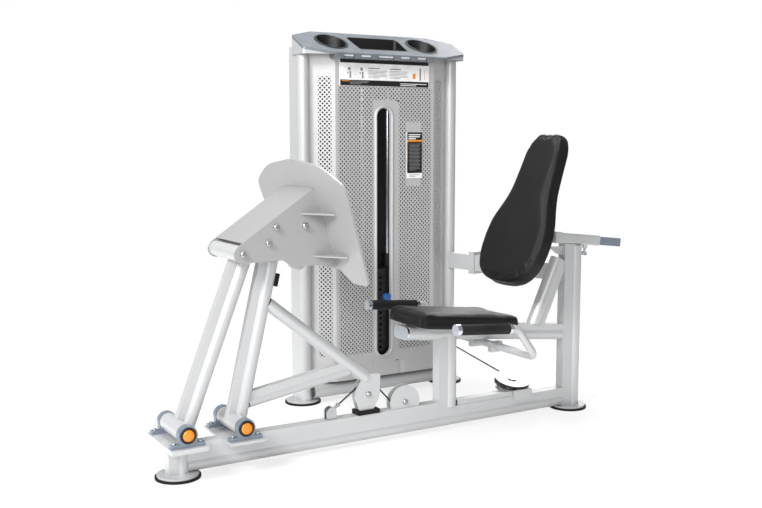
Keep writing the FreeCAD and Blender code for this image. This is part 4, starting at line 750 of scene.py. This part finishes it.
class LEG_OT_guard(Operator):
    """Perforated front guard of the weight tower with its rolled slot rim."""
    bl_idname = "leg.guard"
    bl_label = "Guard"

    def execute(self, context):
        sizes = context.scene.perforation_sizes
        pitch, sheet = sizes.pitch, sizes.sheet
        low, high = (Vector(c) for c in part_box("front_panel"))
        left, right, front = low.x + WING_WIDTH, high.x - WING_WIDTH, low.y
        face = frame_of(Vector((0, front, 0)), Vector((1, 0, 0)), Vector((0, 0, 1)), Vector((0, -1, 0)))
        placard_low, side_margins, surround_margin = 1.308, (0.014, 0.012), 0.030
        rows, side_columns, strip_columns, patch_columns, top_rows = 62, 9, 2, 4, 3
        patch_first, patch_last = 39, 54
        field_low = placard_low - rows * pitch
        a0, b1 = left + side_margins[0], right - side_margins[1]
        a1, b0 = a0 + side_columns * pitch, b1 - side_columns * pitch
        top_columns = int((b0 - a1) / pitch)
        t0 = (a1 + b0 - top_columns * pitch) / 2
        top_low = placard_low - top_rows * pitch
        p0, p1 = b0 + strip_columns * pitch, b0 + (strip_columns + patch_columns) * pitch
        patch_low, patch_high = field_low + patch_first * pitch, field_low + patch_last * pitch
        spots = {
            "left": (a0, field_low, side_columns, rows),
            "top": (t0, top_low, top_columns, top_rows),
            "right_inner": (b0, field_low, strip_columns, rows),
            "right_outer": (p1, field_low, side_columns - strip_columns - patch_columns, rows),
            "right_lower": (p0, field_low, patch_columns, patch_first),
            "right_upper": (p0, patch_high, patch_columns, rows - patch_last),
        }
        fields = [perforated_field(f"guard_{name}_field", (x, z), columns, count, sizes, face)
                  for name, (x, z, columns, count) in spots.items()]
        openings = [(x, z, x + columns * pitch, z + count * pitch) for x, z, columns, count in spots.values()]
        surround_low = SLOT_LOW - surround_margin
        openings.append((a1, surround_low, b0, top_low))
        lines_x = [left, a0, a1, t0, t0 + top_columns * pitch, b0, p0, p1, b1, right]
        lines_z = [low.z, surround_low, field_low, patch_low, patch_high, top_low, placard_low, high.z]
        shapes = sheet_cells(lines_x, lines_z, openings, sheet, face)
        slot = stadium(SLOT_X, SLOT_LOW, SLOT_HIGH, SLOT_RADIUS)
        shapes.append(slot_surround((a1, surround_low), (b0, top_low), slot, sheet, face))
        shapes.append(rolled_rim(slot, face))
        wing_rows, columns, wing_margin = 64, 3, 0.036
        wing_length = math.hypot(WING_WIDTH, WING_DEPTH)
        wing_high = field_low + wing_rows * pitch
        starts = (Vector((left - WING_WIDTH, front + WING_DEPTH, 0)), Vector((right, front, 0)))
        for side, start in zip((-1, 1), starts):
            run = Vector((WING_WIDTH, side * WING_DEPTH, 0)).normalized()
            plane = frame_of(start, run, Vector((0, 0, 1)), run.cross(Vector((0, 0, 1))))
            u0 = wing_margin if side < 0 else wing_length - wing_margin - columns * pitch
            u1 = u0 + columns * pitch
            label = "left" if side < 0 else "right"
            fields.append(perforated_field(f"guard_{label}_wing_field", (u0, field_low), columns, wing_rows,
                                           sizes, plane))
            shapes += sheet_cells([0, u0, u1, wing_length], [low.z, field_low, wing_high, high.z],
                                  [(u0, field_low, u1, wing_high)], sheet, plane)
        plain = mesh_object("guard_sheet", *joined(shapes), "guard", 40)
        wear(plain, "root", "panel_paint", "front_panel")
        for patch in fields:
            wear(patch, "root", "panel_paint")
        return {"FINISHED"}


# ---------------------------------------------------------------- cushions

def inset_by(outline, gap):
    """The outline's points moved inwards by gap."""
    count = len(outline)
    middle = sum((Vector(p) for p in outline), Vector((0, 0))) / count
    points = []
    for i, point in enumerate(outline):
        tangent = (outline[(i + 1) % count] - outline[i - 1]).normalized()
        inward = Vector((-tangent.y, tangent.x))
        if inward.dot(middle - point) < 0:
            inward.negate()
        points.append(point + inward * gap)
    return points


def cushion_shell(outline, thick, inset, matrix):
    """Closed block inside an outline, with soft quarter-round edges."""
    edge, steps = 0.011, 4
    turns = [math.pi / 2 * step / steps for step in range(steps + 1)]
    rings = [(inset + edge * (1 - math.sin(a)), inset + edge * (1 - math.cos(a))) for a in turns]
    levels = rings + [(gap, thick - height) for gap, height in reversed(rings)]
    verts = [matrix @ Vector((at.x, at.y, height)) for gap, height in levels for at in inset_by(outline, gap)]
    return verts, ring_faces(len(outline), len(levels))


def settled_cushion(name, outline, thick, sizes, matrix, fixed_low=True):
    """Cushion cover filled by pressure: the cover is divided, swollen by cloth and smoothed."""
    piece = mesh_object(name + "_start", *cushion_shell(outline, thick, sizes.inset, matrix), "vinyl")
    remesh = piece.modifiers.new("Cells", "REMESH")
    remesh.mode, remesh.voxel_size = "VOXEL", sizes.voxel
    piece = baked(piece, name)
    start = [v.co.copy() for v in piece.data.vertices]
    cloth = piece.modifiers.new("Filling", "CLOTH")
    settings = cloth.settings
    settings.quality = 5
    settings.use_pressure, settings.uniform_pressure_force = True, 4
    settings.effector_weights.gravity = 0
    settings.tension_stiffness = settings.compression_stiffness = 20
    back, board_skin = matrix.inverted(), 0.002
    group = piece.vertex_groups.new(name="Board")
    heights = [(back @ co).z if fixed_low else thick - (back @ co).z for co in start]
    held = [i for i, height in enumerate(heights) if height < sizes.inset + board_skin]
    group.add(held, 1.0, "REPLACE")
    settings.vertex_group_mass = group.name
    scene = bpy.context.scene
    scene.frame_start, scene.frame_end = 1, sizes.frames
    cloth.point_cache.frame_start, cloth.point_cache.frame_end = 1, sizes.frames
    for step in range(1, sizes.frames + 1):
        scene.frame_set(step)
    piece = baked(piece, name)
    for vertex, before in zip(piece.data.vertices, start):
        shift = vertex.co - before
        if shift.length > sizes.swell:
            vertex.co = before + shift.normalized() * sizes.swell
    scene.frame_set(1)
    smooth = piece.modifiers.new("Smooth", "SMOOTH")
    smooth.factor, smooth.iterations = 0.5, 6
    piece.modifiers.new("Fine", "SUBSURF").levels = 1
    return smoothed(baked(piece, name))


def seam_cord(name, cover, outline, height, inset, matrix):
    """Thin piped seam that follows an outline and lies on the cover."""
    tree = BVHTree.FromObject(cover, bpy.context.evaluated_depsgraph_get())
    line = [tree.find_nearest(matrix @ Vector((*at, height)))[0] for at in inset_by(outline, inset)]
    return swept(name, line, SEAM_RADIUS, "thread", closed=True)


def evenly(outline, step=0.012):
    """The outline with points about step apart."""
    points = []
    count = len(outline)
    for i in range(count):
        a, b = outline[i], outline[(i + 1) % count]
        parts = max(1, round((b - a).length / step))
        points += [a.lerp(b, k / parts) for k in range(parts)]
    return points


class LEG_OT_seat_cushion(Operator):
    """Seat cushion with its side band and seams."""
    bl_idname = "leg.seat_cushion"
    bl_label = "Seat cushion"

    def execute(self, context):
        sizes = context.scene.cushion_sizes
        length, front_half, rear_half, thick = 0.446, 0.128, 0.142, 0.054
        points = [(0, -front_half), (length, -rear_half), (length, rear_half), (0, front_half)]
        outline = evenly(rounded_outline(points, [0.024, 0.034, 0.034, 0.024]))
        matrix = seat_frame()
        cover = settled_cushion("seat_cushion", outline, thick, sizes, matrix)
        wear(cover, "root", "vinyl", "seat_pad")
        for label, height, inset in (("top", thick - 0.001, 0.014), ("low", 0.004, 0.004)):
            cord = seam_cord(f"seat_seam_{label}", cover, outline, height, inset, matrix)
            wear(cord, "root", "vinyl")
        return {"FINISHED"}


class LEG_OT_back_cushion(Operator):
    """Back cushion with its bevelled side band and seams."""
    bl_idname = "leg.back_cushion"
    bl_label = "Back cushion"

    def execute(self, context):
        sizes = context.scene.cushion_sizes
        half, top, thick = 0.188, 0.632, 0.058
        side = [(0, 0.30), (0.020, 0.72), (0.084, 0.94), (0.165, 1.00), (0.250, 0.95), (0.370, 0.67),
                (0.470, 0.60), (0.575, 0.54), (top, 0.34)]
        radii = [0.20, 0.12, 0.12, 0.30, 0.25, 0.35, 0, 0.14, 0.052]
        points = [(x, share * half) for x, share in side]
        points += [(x, -y) for x, y in reversed(points)]
        outline = evenly(rounded_outline(points, radii + list(reversed(radii))))
        matrix = back_frame()
        cover = settled_cushion("back_cushion", outline, thick, sizes, matrix, fixed_low=False)
        wear(cover, "backrest", "vinyl", "back_pad")
        for label, height, inset in (("front", 0.002, 0.020), ("rear", thick - 0.004, 0.004)):
            cord = seam_cord(f"back_seam_{label}", cover, outline, height, inset, matrix)
            wear(cord, "backrest", "vinyl")
        return {"FINISHED"}


# ---------------------------------------------------------------- bearings, grips and knob

class LEG_OT_bearing_caps(Operator):
    """Domed end caps of the pillow bearings in their black rings."""
    bl_idname = "leg.bearing_caps"
    bl_label = "Bearing caps"

    def execute(self, context):
        dome = [(0.0165, 0.0), (0.0188, 0.0004), (0.0190, 0.0026), (0.0184, 0.0040), (0.0160, 0.0054),
                (0.0110, 0.0066), (0.0050, 0.0071), (0.0004, 0.0072)]
        ring = [(0.0185, -0.0006), (0.0262, -0.0006), (0.0266, 0.0012), (0.0256, 0.0026), (0.0222, 0.0030),
                (0.0205, 0.0018), (0.0185, 0.0010)]
        caps, rings = [], []
        seal = 0.002
        for pivot, _ in PIVOTS:
            for side in (-1, 1):
                at = along((0, side, 0), pivot + Vector((0, side * (BEARING_END + seal), 0)))
                caps.append(moved(lathe(dome, 48), at))
                rings.append(moved(lathe(ring, 48), at))
        wear(mesh_object("bearing_domes", *joined(caps), "orange", 40), "root", "orange_plastic",
             "bearing_caps")
        wear(mesh_object("bearing_rings", *joined(rings), "plastic", 40), "root", "black_plastic")
        return {"FINISHED"}


class LEG_OT_grips(Operator):
    """Ribbed rubber grips with their flanges."""
    bl_idname = "leg.grips"
    bl_label = "Grips"

    def execute(self, context):
        length, radius = 0.210, 0.0184
        profile = [(radius - 0.004, 0.0), (radius + 0.0008, 0.0), (radius + 0.0012, 0.0020), (radius, 0.0050)]
        ribs = 46
        for rib in range(ribs):
            start = 0.008 + rib * (length - 0.016) / ribs
            pitch = (length - 0.016) / ribs
            profile += [(radius, start), (radius + 0.0005, start + pitch * 0.3),
                        (radius + 0.0005, start + pitch * 0.6), (radius - 0.0002, start + pitch * 0.85)]
        profile += [(radius, length - 0.006), (radius + 0.0010, length - 0.002), (radius - 0.004, length)]
        ahead, _ = falling(GRIP_SLOPE)
        shapes = [moved(lathe(profile, 40), along(ahead, GRIP_START + Vector((0, side * GRIP_SIDE, 0))))
                  for side in (-1, 1)]
        wear(mesh_object("grip_sleeves", *joined(shapes), "grip", 50), "root", "black_rubber", "handle_grips")
        return {"FINISHED"}


class LEG_OT_knob(Operator):
    """Selector pin with its waisted knob."""
    bl_idname = "leg.knob"
    bl_label = "Selector knob"

    def execute(self, context):
        low, high = (Vector(c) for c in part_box("selector_pin"))
        middle = Vector(((low.x + high.x) / 2, 0, (low.z + high.z) / 2))
        pin_end, front = high.y, low.y
        turn = along((0, -1, 0), Vector((middle.x, pin_end, middle.z)))
        length = pin_end - front
        pin = [(0.0005, 0.0), (0.0040, 0.0012), (0.0048, 0.004), (0.0048, length - 0.024)]
        wear(mesh_object("selector_shaft", *moved(lathe(pin, 32), turn), "chrome", 40), "selector", "chrome",
             "selector_pin")
        knob = [(0.0110, length - 0.026), (0.0145, length - 0.0255), (0.0130, length - 0.019),
                (0.0128, length - 0.016), (0.0165, length - 0.011), (0.0168, length - 0.006),
                (0.0150, length - 0.0025), (0.0100, length - 0.0006), (0.0005, length - 0.0002)]
        wear(mesh_object("selector_knob", *moved(lathe(knob, 48), turn), "knob", 40), "selector",
             "black_plastic")
        return {"FINISHED"}


# ---------------------------------------------------------------- cables

def stretched(piece):
    """Bakes the cable's placement into its mesh."""
    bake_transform(piece)


def arc_points(middle, radius, first, last, steps=14):
    """Points in the XZ plane from one angle to another."""
    return [middle + Vector((math.cos(a), 0, math.sin(a))) * radius
            for a in (first + (last - first) * i / steps for i in range(steps + 1))]


class LEG_OT_lever_cable(Operator):
    """Cable run from the anchor over the lever pulley to the beam pulley."""
    bl_idname = "leg.lever_cable"
    bl_label = "Lever cable"

    def execute(self, context):
        gap = LEVER_PULLEY - ANCHOR
        rise = math.atan2(gap.z, gap.x) + math.asin(LEVER_GROOVE / gap.length)
        gap = BEAM_PULLEY - LEVER_PULLEY
        fall = math.atan2(gap.z, gap.x) - math.asin((LEVER_GROOVE + BEAM_GROOVE) / gap.length)
        start = ANCHOR + Vector((math.cos(rise), 0, math.sin(rise))) * TERMINAL_LENGTH
        over = arc_points(LEVER_PULLEY, LEVER_GROOVE, math.pi / 2 + rise, math.pi / 2 + fall)
        under = arc_points(BEAM_PULLEY, BEAM_GROOVE, fall - math.pi / 2, -math.pi / 2)
        first = [start.lerp(over[0], i / 8) for i in range(8)]
        middle = [over[-1].lerp(under[0], i / 10) for i in range(1, 10)]
        crown = len(over) // 2
        front_run = swept("lever_cable_front", first + over[:crown + 1], CABLE_RADIUS, "cable")
        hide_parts("cable_lever_run")
        stretched(front_run)
        rear_run = swept("lever_cable_rear", over[crown:] + middle + under, CABLE_RADIUS, "cable")
        stretched(rear_run)
        return {"FINISHED"}


class LEG_OT_stack_cable(Operator):
    """Cable run from the top pulley down to the selector stem."""
    bl_idname = "leg.stack_cable"
    bl_label = "Stack cable"

    def execute(self, context):
        low, high = (Vector(c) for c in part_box("cable_stack_run"))
        middle = (low + high) / 2
        top, foot = Vector((middle.x, middle.y, high.z)), Vector((middle.x, middle.y, low.z))
        count = 24
        line = [top.lerp(foot, i / count) for i in range(count + 1)]
        run = swept("stack_cable", line, CABLE_RADIUS, "cable")
        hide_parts("cable_stack_run")
        stretched(run)
        return {"FINISHED"}


# ---------------------------------------------------------------- screws

def button_head(radius, height, segments=36):
    """Domed screw head with a hexagon socket."""
    hexagon = radius * 0.42
    profile = [(radius * 0.96, 0), (radius, height * 0.12), (radius * 0.97, height * 0.42),
               (radius * 0.80, height * 0.82), (radius * 0.60, height), (hexagon, height),
               (hexagon * 0.96, height * 0.2), (0.0003, height * 0.18)]
    return lathe(profile, segments, hex_from=5)


def hex_bolt(radius, height):
    """Hexagon bolt head on its washer."""
    washer_top = height * 0.26
    washer = lathe([(radius * 1.28, 0), (radius * 1.30, height * 0.18), (radius * 1.2, washer_top),
                    (0.0004, washer_top)], 36)
    head = lathe([(radius * 0.9, washer_top), (radius * 0.9, height * 0.86), (radius * 0.78, height),
                  (0.0004, height)], 36, hex_from=0)
    return joined([washer, head])


class LEG_OT_fixings(Operator):
    """Button heads of the carriage, pulley bolts and the bolts of the bearing feet."""
    bl_idname = "leg.fixings"
    bl_label = "Fixings"

    def execute(self, context):
        sizes = context.scene.fixing_sizes
        disc = 0.006
        spots = [((x, side * (CARRIAGE_HALF + disc), z), (0, side, 0))
                 for x, z in CARRIAGE_BOLTS for side in (-1, 1)]
        heads = scatter("carriage_heads", button_head(sizes.large, 0.0052), spots, "zinc")
        wear(heads, "carriage", "zinc")

        cheek = 0.0165
        for name, at, body in (("lever", LEVER_PULLEY, "rear_arm"), ("beam", BEAM_PULLEY, "root")):
            spots = [((at.x, side * cheek, at.z), (0, side, 0)) for side in (-1, 1)]
            bolts = scatter(f"{name}_pulley_bolts", button_head(sizes.large, 0.0075), spots, "zinc")
            wear(bolts, body, "zinc")

        foot_top, bolt_reach, housing_y = 0.012, 0.044, 0.094
        spots = [((pivot.x + end * bolt_reach, side * housing_y, plate_top + foot_top), (0, 0, 1))
                 for pivot, plate_top in PIVOTS for end in (-1, 1) for side in (-1, 1)]
        wear(scatter("bearing_bolts", hex_bolt(sizes.small, 0.007), spots, "zinc"), "root", "zinc")
        return {"FINISHED"}


# ---------------------------------------------------------------- fascia and placards

class LEG_OT_fascia(Operator):
    """Raised blocks and recessed bars along the band under the cap, with a white painted highlight along the
    top of each recess.
    """
    bl_idname = "leg.fascia"
    bl_label = "Fascia"

    def execute(self, context):
        high_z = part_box("tower_cap")[0][2]
        low_z, ledge_z = high_z - 0.0145, high_z - 0.0055
        middle, front, back = 1.099, CAP_FRONT.y + 0.002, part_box("cap_fascia")[0][1]
        sunk, gap = 0.004, 0.004
        halves = [(0.053, 0.015), (0.134, 0.015), (0.219, 0.020)]
        tabs = sorted((middle + side * place - wide, middle + side * place + wide)
                      for place, wide in halves for side in (-1, 1))
        shapes = [block((left, front, low_z), (right, back, high_z)) for left, right in tabs]
        painted_highlights = []
        for (_, left), (right, _) in zip(tabs, tabs[1:]):
            shapes.append(block((left + gap, front + sunk, low_z), (right - gap, back, ledge_z)))
            # painted highlight: a white strip in the placard laminate along the top of each recess stands for
            # its lit upper edge
            painted_highlights.append(block((left + gap, front + sunk / 2, ledge_z), (right - gap, back, high_z)))
        wear(mesh_object("fascia_blocks", *joined(shapes), "cap", 30), "root", "cap_grey")
        wear(mesh_object("fascia_ledges", *joined(painted_highlights), "laminate", 30), "root", "placard_white")
        return {"FINISHED"}


class PlacardArt:
    """Collects printed areas on one placard, given from its lower left corner."""

    def __init__(self, name, corner):
        self.name, self.corner, self.areas = name, corner, {}

    def area(self, finish, x, z, width, height, lift=0.0003):
        low = self.corner + Vector((x, -lift, z))
        self.areas.setdefault(finish, []).append(block(low, low + Vector((width, lift + 0.0002, height))))

    def lines(self, finish, x, z, width, count, pitch, height, lift=0.0003):
        """Blank text lines below z, the last one shorter."""
        for i in range(count):
            share = 0.6 if i == count - 1 else 1 - 0.05 * (i % 3)
            self.area(finish, x, z - i * pitch, width * share, height, lift)

    def lay(self):
        """Makes one piece of each finish's areas."""
        for finish, shapes in self.areas.items():
            wear(mesh_object(f"{self.name}_{finish}", *joined(shapes), finish), "root", "placard_white")


class LEG_OT_placards(Operator):
    """Blank printed areas of the two placards: bands, lines and plain figures without any words."""
    bl_idname = "leg.placards"
    bl_label = "Placards"

    def execute(self, context):
        low, high = (Vector(c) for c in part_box("placards"))
        wide, tall, over = 0.432, 0.108, 0.0006
        title = PlacardArt("title_placard", Vector((0.907, low.y, high.z - tall)))
        for bottom, height in ((0.092, 0.015), (0.001, 0.023)):
            title.area("ink", 0.002, bottom, wide - 0.004, height)
        title.area("orange_ink", 0.010, 0.0175, 0.034, 0.0036, over)
        title.lines("grey_ink", 0.047, 0.0180, 0.088, 3, 0.0055, 0.0018, over)
        title.lines("laminate", 0.288, 0.0125, 0.132, 2, 0.0065, 0.0026, over)
        for x in (0.038, 0.096):
            title.area("grey_ink", x, 0.062, 0.012, 0.012)
            title.area("grey_ink", x + 0.007, 0.030, 0.008, 0.028)
            title.area("grey_ink", x - 0.003, 0.048, 0.005, 0.008)
        for x in (0.134, 0.236):
            title.area("ink", x, 0.071, 0.055, 0.0028)
            title.lines("grey_ink", x, 0.062, 0.090, 6, 0.0056, 0.0020)
        title.area("orange_ink", 0.350, 0.036, 0.014, 0.022)
        title.area("grey_ink", 0.384, 0.030, 0.008, 0.050)
        title.area("orange_ink", 0.408, 0.034, 0.0025, 0.042)
        title.lay()

        width, height = 0.077, 0.196
        card = PlacardArt("instruction_placard", Vector((1.230, low.y + 0.0005, low.z)))
        card.area("ink", 0.001, 0.022, width - 0.002, height - 0.023)
        card.lines("laminate", 0.008, height - 0.014, width - 0.018, 3, 0.0085, 0.0045, over)
        card.area("orange_ink", 0.001, height - 0.042, width - 0.002, 0.0085, over)
        card.lines("grey_ink", 0.012, height - 0.052, width - 0.022, 20, 0.0058, 0.0017, over)
        card.lines("orange_ink", 0.004, height - 0.052, 0.003, 6, 0.0174, 0.0024, over)
        card.lines("grey_ink", 0.012, 0.013, width - 0.026, 2, 0.0060, 0.0022)
        card.lay()
        return {"FINISHED"}


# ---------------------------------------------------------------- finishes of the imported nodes, stage

class LEG_OT_finishes(Operator):
    """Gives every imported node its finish."""
    bl_idname = "leg.finishes"
    bl_label = "Finishes"

    def execute(self, context):
        for finish, nodes in CAD_FINISH.items():
            for name in nodes:
                mesh = bpy.data.objects[name].data
                mesh.materials.clear()
                mesh.materials.append(FINISH[finish])
        return {"FINISHED"}


CAMERA_AT = Vector((-1.05364, -3.03684, 1.1))
CAMERA_HEADING = Vector((0.5153, 0.8570))
CAMERA_DROP = math.radians(6.67)


def stand_camera(scene):
    """Camera that frames the whole machine from the front left."""
    data = bpy.data.cameras.new("Camera")
    data.lens, data.sensor_width, data.clip_end = 47.115, 36, 60
    camera = linked("Camera", data)
    camera.location = CAMERA_AT
    flat = CAMERA_HEADING.normalized() * math.cos(CAMERA_DROP)
    view = Vector((flat.x, flat.y, -math.sin(CAMERA_DROP)))
    camera.rotation_euler = view.to_track_quat("-Z", "Y").to_euler()
    scene.camera = camera


def area_lamp(name, place, aim, size, power):
    """Round softbox that points at aim."""
    data = bpy.data.lights.new(name, "AREA")
    data.shape, data.size, data.energy = "DISK", size, power
    lamp = linked(name, data)
    lamp.location = place
    lamp.rotation_euler = (Vector(aim) - Vector(place)).to_track_quat("-Z", "Y").to_euler()


def studio_world(scene, seen, lit, strength):
    """World that looks pale to the camera and lights the object more softly than it looks."""
    world = bpy.data.worlds.new("Studio")
    world.use_nodes = True
    scene.world = world
    tree = world.node_tree
    out = tree.nodes["World Output"]
    light = tree.nodes["Background"]
    light.inputs["Color"].default_value, light.inputs["Strength"].default_value = lit, strength
    shown = add(tree, "ShaderNodeBackground", sockets={"Color": seen, "Strength": 1.0})
    path, mix = add(tree, "ShaderNodeLightPath"), add(tree, "ShaderNodeMixShader")
    tree.links.new(path.outputs["Is Camera Ray"], mix.inputs["Fac"])
    tree.links.new(light.outputs["Background"], mix.inputs[1])
    tree.links.new(shown.outputs["Background"], mix.inputs[2])
    tree.links.new(mix.outputs["Shader"], out.inputs["Surface"])


def floor_surface():
    """Pale floor: near the object it takes its shadow, further off it is as pale as the backdrop."""
    material, tree, shader = new_material("studio_floor")
    shader.inputs["Base Color"].default_value = linear("#F4F4F4")
    shader.inputs["Roughness"].default_value = 0.9
    glow = add(tree, "ShaderNodeEmission", sockets={"Color": (1, 1, 1, 1), "Strength": 1.0})
    path = add(tree, "ShaderNodeLightPath")
    where = add(tree, "ShaderNodeTexCoord")
    away = add(tree, "ShaderNodeVectorMath", operation="DISTANCE", sockets={1: (0.8, 0.2, 0)})
    fade = add(tree, "ShaderNodeMapRange", interpolation_type="SMOOTHSTEP",
               sockets={"From Min": 0.9, "From Max": 2.6, "To Min": 0.72, "To Max": 1.0})
    share = add(tree, "ShaderNodeMath", operation="MULTIPLY")
    mix = add(tree, "ShaderNodeMixShader")
    tree.links.new(where.outputs["Object"], away.inputs[0])
    tree.links.new(away.outputs["Value"], fade.inputs["Value"])
    tree.links.new(path.outputs["Is Camera Ray"], share.inputs[0])
    tree.links.new(fade.outputs["Result"], share.inputs[1])
    tree.links.new(share.outputs["Value"], mix.inputs["Fac"])
    tree.links.new(shader.outputs["BSDF"], mix.inputs[1])
    tree.links.new(glow.outputs["Emission"], mix.inputs[2])
    tree.links.new(mix.outputs["Shader"], tree.nodes["Material Output"].inputs["Surface"])
    return material


# name, place, point aimed at, diameter in metres and power in watts
LAMPS = (
    ("Front softbox", (-2.3, -4.6, 2.3), (0.9, 0.4, 0.8), 2.6, 118),
    ("Overhead softbox", (0.7, 1.0, 4.4), (0.8, 0.2, 0.5), 3.0, 125),
    ("High left softbox", (-3.6, -1.7, 3.8), (0.5, 0.1, 0.8), 1.8, 300),
    ("Rear strip", (3.6, 2.6, 2.4), (1.0, 0.2, 0.8), 1.6, 60),
)


class LEG_OT_stage(Operator):
    """Camera, lamps, world and floor."""
    bl_idname = "leg.stage"
    bl_label = "Stage"

    def execute(self, context):
        scene = context.scene
        stand_camera(scene)
        scene.view_settings.view_transform = "Standard"
        studio_world(scene, (1, 1, 1, 1), (1, 1, 1, 1), 0.36)
        for name, place, aim, size, power in LAMPS:
            area_lamp(name, place, aim, size, power)
        corners = [(-40, -40, 0), (40, -40, 0), (40, 60, 0), (-40, 60, 0)]
        floor = mesh_object("floor", corners, [(0, 1, 2, 3)], "ink")
        floor.data.materials[0] = floor_surface()
        return {"FINISHED"}


# ---------------------------------------------------------------- add-on

OPERATORS = (LEG_OT_finishes, LEG_OT_guard, LEG_OT_seat_cushion, LEG_OT_back_cushion, LEG_OT_bearing_caps,
             LEG_OT_grips, LEG_OT_knob, LEG_OT_lever_cable, LEG_OT_stack_cable, LEG_OT_fixings, LEG_OT_fascia,
             LEG_OT_placards, LEG_OT_stage)
SETTINGS = (("machine_colours", MachineColours), ("perforation_sizes", PerforationSizes),
            ("cushion_sizes", CushionSizes), ("fixing_sizes", FixingSizes))


class LEG_PT_machine(Panel):
    """Sidebar panel that lists the machine's pieces."""
    bl_label = "Leg machine"
    bl_idname = "LEG_PT_machine"
    bl_space_type = "VIEW_3D"
    bl_region_type = "UI"
    bl_category = "Leg machine"

    def draw(self, context):
        for name, _ in SETTINGS:
            group = getattr(context.scene, name)
            box = self.layout.box()
            for prop in group.bl_rna.properties:
                if not prop.is_readonly and prop.identifier != "name":
                    box.prop(group, prop.identifier)
        for operator in OPERATORS:
            self.layout.operator(operator.bl_idname)


def register():
    for _, settings in SETTINGS:
        bpy.utils.register_class(settings)
    for name, settings in SETTINGS:
        setattr(bpy.types.Scene, name, PointerProperty(type=settings))
    for operator in OPERATORS:
        bpy.utils.register_class(operator)
    bpy.utils.register_class(LEG_PT_machine)


def unregister():
    bpy.utils.unregister_class(LEG_PT_machine)
    for operator in reversed(OPERATORS):
        bpy.utils.unregister_class(operator)
    for name, settings in SETTINGS:
        delattr(bpy.types.Scene, name)
        bpy.utils.unregister_class(settings)


def main():
    """Registers the add-on and builds every piece in order."""
    register()
    make_finishes(bpy.context.scene.machine_colours)
    for operator in OPERATORS:
        family, name = operator.bl_idname.split(".")
        getattr(getattr(bpy.ops, family), name)()


if __name__ == "__main__":
    main()
